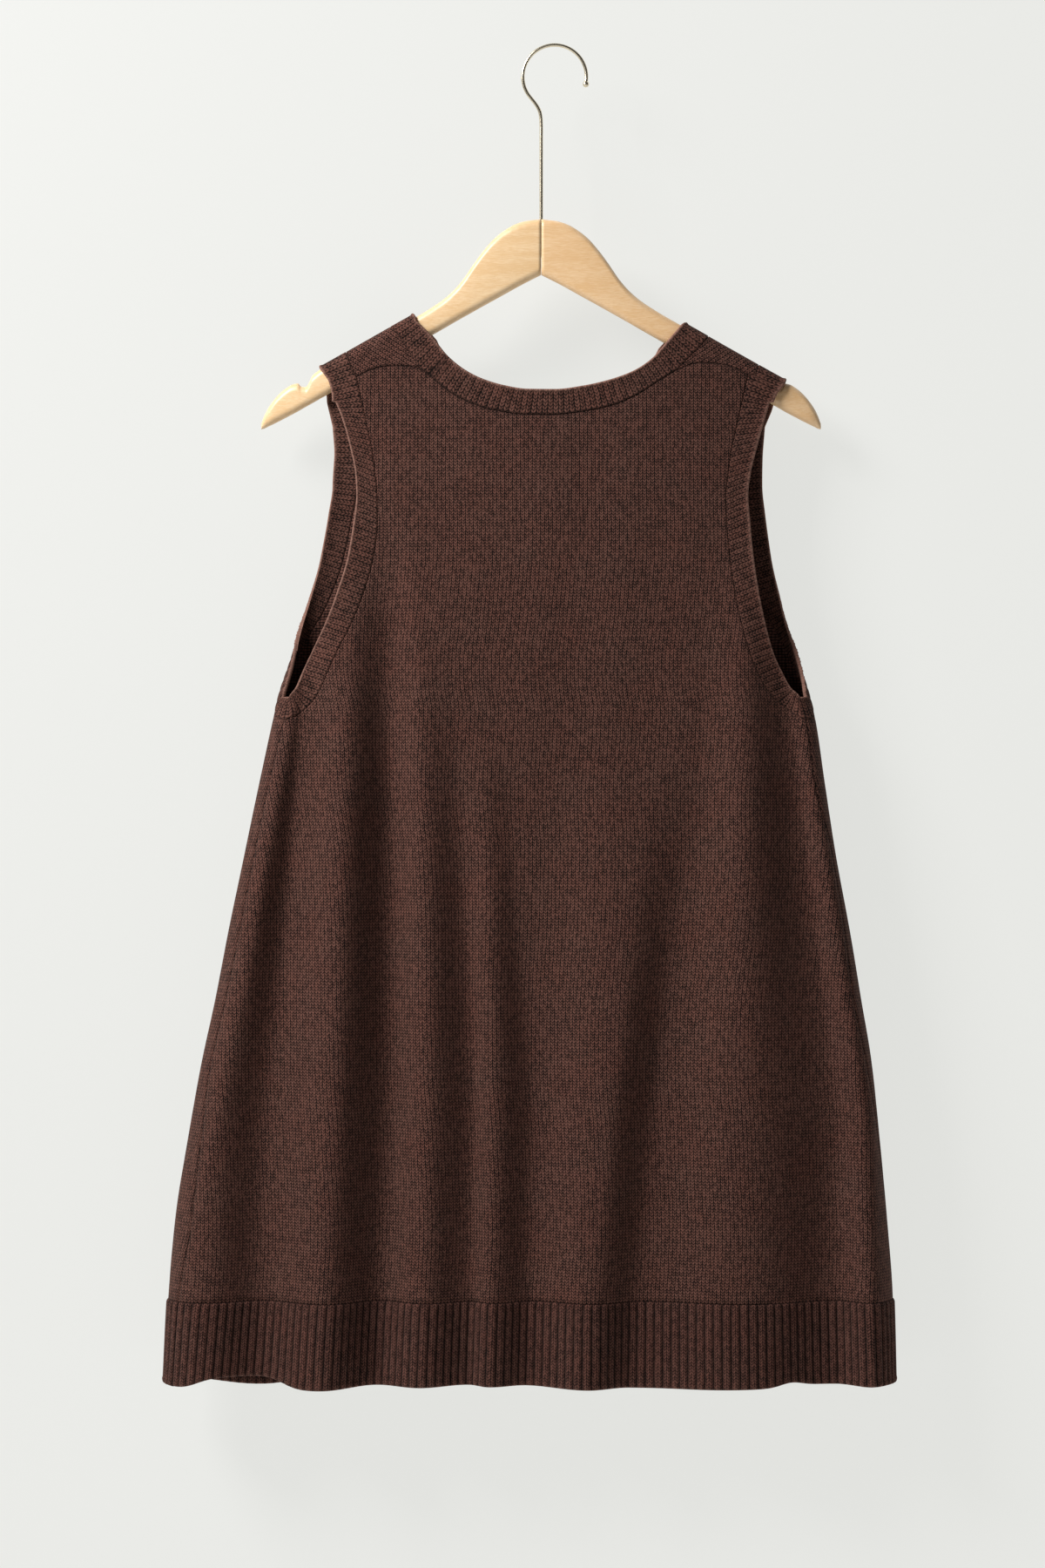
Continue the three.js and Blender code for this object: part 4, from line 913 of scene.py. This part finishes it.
def band(name, node_name, stretches, turns, seam_shade, join=0):
    """A closed band. Each stretch has a way to place its two numbers, a seam curve and a free edge curve; both are
    stepped evenly and joined across by straight lines in those numbers. The ribs lie evenly round the whole band,
    flatter where it is pressed on the arm. turns is -1 where the band runs the other way round. The next argument gives
    how deep the painted shade along the picked-up line is on each stretch, and join how deep the painted shade in the
    slit at the knotted join is, just past the start of the second stretch. The free edge gets a painted highlight and
    the grooves between ribs painted shade."""
    placed = []
    for place, seam, free in stretches:
        seam_line, free_line = even_curve(seam, place), even_curve(free, place)
        placed.append((place, np.stack(seam_line, -1), np.stack(free_line, -1)))
    middles = [place(*mixed(seam, free, 0.5).T) for place, seam, free in placed]
    lengths = [np.linalg.norm(np.diff(middle, axis=0), axis=1).sum() for middle in middles]
    ribs = round(sum(lengths) / BAND_RIB)
    stations = np.linspace(0, sum(lengths), ribs * RIB_STEPS + 1)
    starts = np.concatenate([[0], np.cumsum(lengths)])
    width = np.concatenate([[0.012, 0.05, 0.1], np.linspace(0.17, 0.86, 9), [0.91, 0.95, 0.98, 1.0]])
    columns = []
    for i, (place, seam, free) in enumerate(placed):
        last = i == len(placed) - 1
        here = stations[(stations >= starts[i]) & ((stations < starts[i + 1]) | last)]
        run = np.concatenate([[0], np.cumsum(np.linalg.norm(np.diff(middles[i], axis=0), axis=1))])
        share = np.interp(here - starts[i], run, np.linspace(0, 1, len(seam)))
        grid = np.linspace(0, 1, len(seam))
        s = np.stack([np.interp(share, grid, seam[:, k]) for k in range(2)])
        e = np.stack([np.interp(share, grid, free[:, k]) for k in range(2)])
        a, b = mixed(s[:, None], e[:, None], width[None, :, None])
        columns.append(place(a, b))
    points = np.concatenate(columns, 1)
    points[:, -1] = points[:, 0]
    phase = np.arange(points.shape[1]) / RIB_STEPS
    fade = np.minimum(1, np.minimum(width / 0.06 + 0.2, (1 - width) / 0.07 + 0.45))[:, None]
    pressed = np.concatenate([np.full(column.shape[1], 0.4 if line[0] is over_arm else 1.0)
                              for column, line in zip(columns, placed)])
    pressed = np.convolve(np.concatenate([pressed[-12:], pressed, pressed[:12]]), np.ones(25) / 25, "valid")
    relief = BAND_HIGH * rib_relief(phase % 1)[None] * fade * pressed
    chain = np.exp(-((width - 0.95) / 0.05) ** 2)[:, None] * (0.7 + 0.25 * np.cos(6 * np.pi * phase))[None]
    stitches = np.stack(np.broadcast_arrays(2 * phase[None], (width * BAND_COURSES)[:, None]), -1)
    # Painted highlight on the chain along the free edge; painted shade along the picked-up seam, in the grooves between
    # ribs and in the slit at the knotted join.
    groove = ((0.5 + 0.5 * np.cos(2 * np.pi * phase)) ** 1.6)[None]
    dark = np.concatenate([np.full(column.shape[1], deep) for column, deep in zip(columns, seam_shade)])
    wander = 5 * (width[:, None] - 0.5) + 2.5 * np.sin(width[:, None] * 19)
    knot = columns[0].shape[1] + 11 - np.arange(len(phase)) + wander
    edge_light, seam_dark = np.exp(-((1 - width) / 0.08) ** 2)[:, None], np.exp(-(width / 0.045) ** 2)[:, None]
    shade = 0.9 * edge_light - dark * seam_dark - 0.2 * groove - join * np.exp(-(knot / 2.6) ** 2)
    grids = (points, stitches, relief + chain, np.clip(shade, -1, 1))
    if turns < 0:
        grids = tuple(grid[::-1] for grid in grids)
    made = cloth_mesh(name, [grids], RIB, knit_band, knit_band)
    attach(made, "root")
    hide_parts(node_name)


def chained(*curves):
    """Several two-number point lists as one curve over 0 to 1, stepped by the lists' own lengths."""
    joined = np.concatenate([np.stack(np.broadcast_arrays(*map(np.atleast_1d, curve)), -1) for curve in curves])
    run = np.concatenate([[0], np.cumsum(np.linalg.norm(np.diff(joined, axis=0), axis=1) + 1e-6)])
    run /= run[-1]
    return lambda t: (np.interp(t, run, joined[:, 0]), np.interp(t, run, joined[:, 1]))


def armhole_band(side):
    """Six stretches: round the underarm, up the near face, over the arm, and down the far face to the
    underarm again. A stretch over the arm has numbers x and q, and the others s and z."""
    edge = -1 if side == "left" else 1

    def on_this_side(s, z):
        return on_side(edge, s, z)

    def rising(line, sign, low, high):
        z = np.linspace(low, high, 200)
        return chained((hole_s(side, line, sign, z), z))

    def as_top(x, z, sign):
        return x, top_arc(x, z, sign)

    q = np.linspace(TURN_ARC, 0, 40)
    t = np.linspace(0, 1, 30)
    join_x, join_z = TIP[side]
    seam_x = near_hole[side + "_seam"](CHEST)
    near_seam_top = chained(as_top(mixed(seam_x, join_x, t), mixed(CHEST, join_z, t), 1), (over[side + "_seam"](q), q))
    z = np.linspace(-312, -280, 30)
    q = np.linspace(top_arc(near_hole[side + "_edge"](-280), -280, 1) - 2, 0, 40)
    near_edge_top = chained(as_top(near_hole[side + "_edge"](z), z, 1), (over[side + "_edge"](q), q))
    far_q = np.linspace(0, STRAP_Q, 40)

    def far_top(line):
        z = np.array([STRAP_LOW])
        s = -hole_s(side, line, -1, z)
        turned = np.minimum(1, s / side_arc(-1, z)) * np.pi / 2
        inset = ROUND * (1 - np.cos(turned)) + np.maximum(0, s - side_arc(-1, z))
        x = body[side](z) - edge * inset
        return chained((over[side + line](far_q), far_q), as_top(x, z, -1))

    z = np.linspace(-512, -513, 20)
    far_edge = chained((hole_s(side, "_edge", -1, z), z), (hole_s(side, "_edge", 1, z[-1:]), z[-1:]))
    band("rib_armhole_" + side, "armhole_band_" + side, [
        (on_this_side, rising("_seam", 1, UNDERARM, -512), rising("_edge", 1, -513, -506)),
        (on_this_side, rising("_seam", 1, -512, CHEST), rising("_edge", 1, -506, -312)),
        (over_arm, near_seam_top, near_edge_top),
        (over_arm, far_top("_seam"), far_top("_edge")),
        (on_this_side, rising("_seam", -1, STRAP_LOW, -518), rising("_edge", -1, STRAP_LOW, -512)),
        (on_this_side, rising("_seam", -1, -518, UNDERARM), far_edge),
    ], -edge, [0.2, 0.05, 0.05, 0.2, 0.2, 0.2])


armhole_band("left")
armhole_band("right")


def neck_stretches():
    """Seven stretches: over the left arm, along the back neck, over the right arm to the front, down
    and up the V, and back up to the left arm."""
    def near(x, z):
        return on_face(x, z, 1)

    def far(x, z):
        return on_face(x, z, -1)

    def top_part(x, z):
        return x, top_arc(x, z, 1)

    q = np.linspace(0, TURN_ARC, 30)
    made = []
    for side, join, free_x in (("left", JOIN_X["left"], -89.0), ("right", JOIN_X["right"], 84.5)):
        edge = -1 if side == "left" else 1
        seam_top = chained((over[side + "_neck_seam"](q), q), (join, top_arc(join, neck_seam(join), 1)))
        x = np.linspace(NECK_X[0] if edge < 0 else NECK_X[-1], free_x, 20)
        free_top = chained((over[side + "_neck"](0), 0), top_part(x, neck_edge(x)))
        if edge > 0:
            seam_top, free_top = (lambda t, c=curve: c(1 - t) for curve in (seam_top, free_top))
        made.append((over_arm, seam_top, free_top))
        if edge < 0:
            x = np.linspace(JOIN_X["left"], JOIN_X["right"], 200)
            free = np.linspace(-89.0, 84.5, 200)
            made.append((near, chained((x, neck_seam(x))), chained((free, neck_edge(free)))))
    far_q = np.linspace(0, STRAP_Q, 40)

    def v_lines(side):
        z = np.linspace(strap_z(over[side + "_neck_seam"](STRAP_Q)), V_LOW, 80)
        free_z = np.linspace(strap_z(over[side + "_neck"](STRAP_Q)), V_LOW + V_LIFT, 80)
        return chained((vee_x(side, z), z)), chained((vee_x(side, free_z, V_LIFT), free_z))

    for side in ("right", "left"):
        down = chained((over[side + "_neck_seam"](far_q), far_q)), chained((over[side + "_neck"](far_q), far_q))
        vee = v_lines(side)
        if side == "right":
            made += [(over_arm, *down), (far, *vee)]
        else:
            back_up = [tuple(lambda t, c=curve: c(1 - t) for curve in pair) for pair in (vee, down)]
            made += [(far, *back_up[0]), (over_arm, *back_up[1])]
    return made


band("rib_neck", "neck_band", neck_stretches(), 1, [0.2, 0.9, 0.2, 0.3, 0.6, 0.6, 0.3], join=0.95)
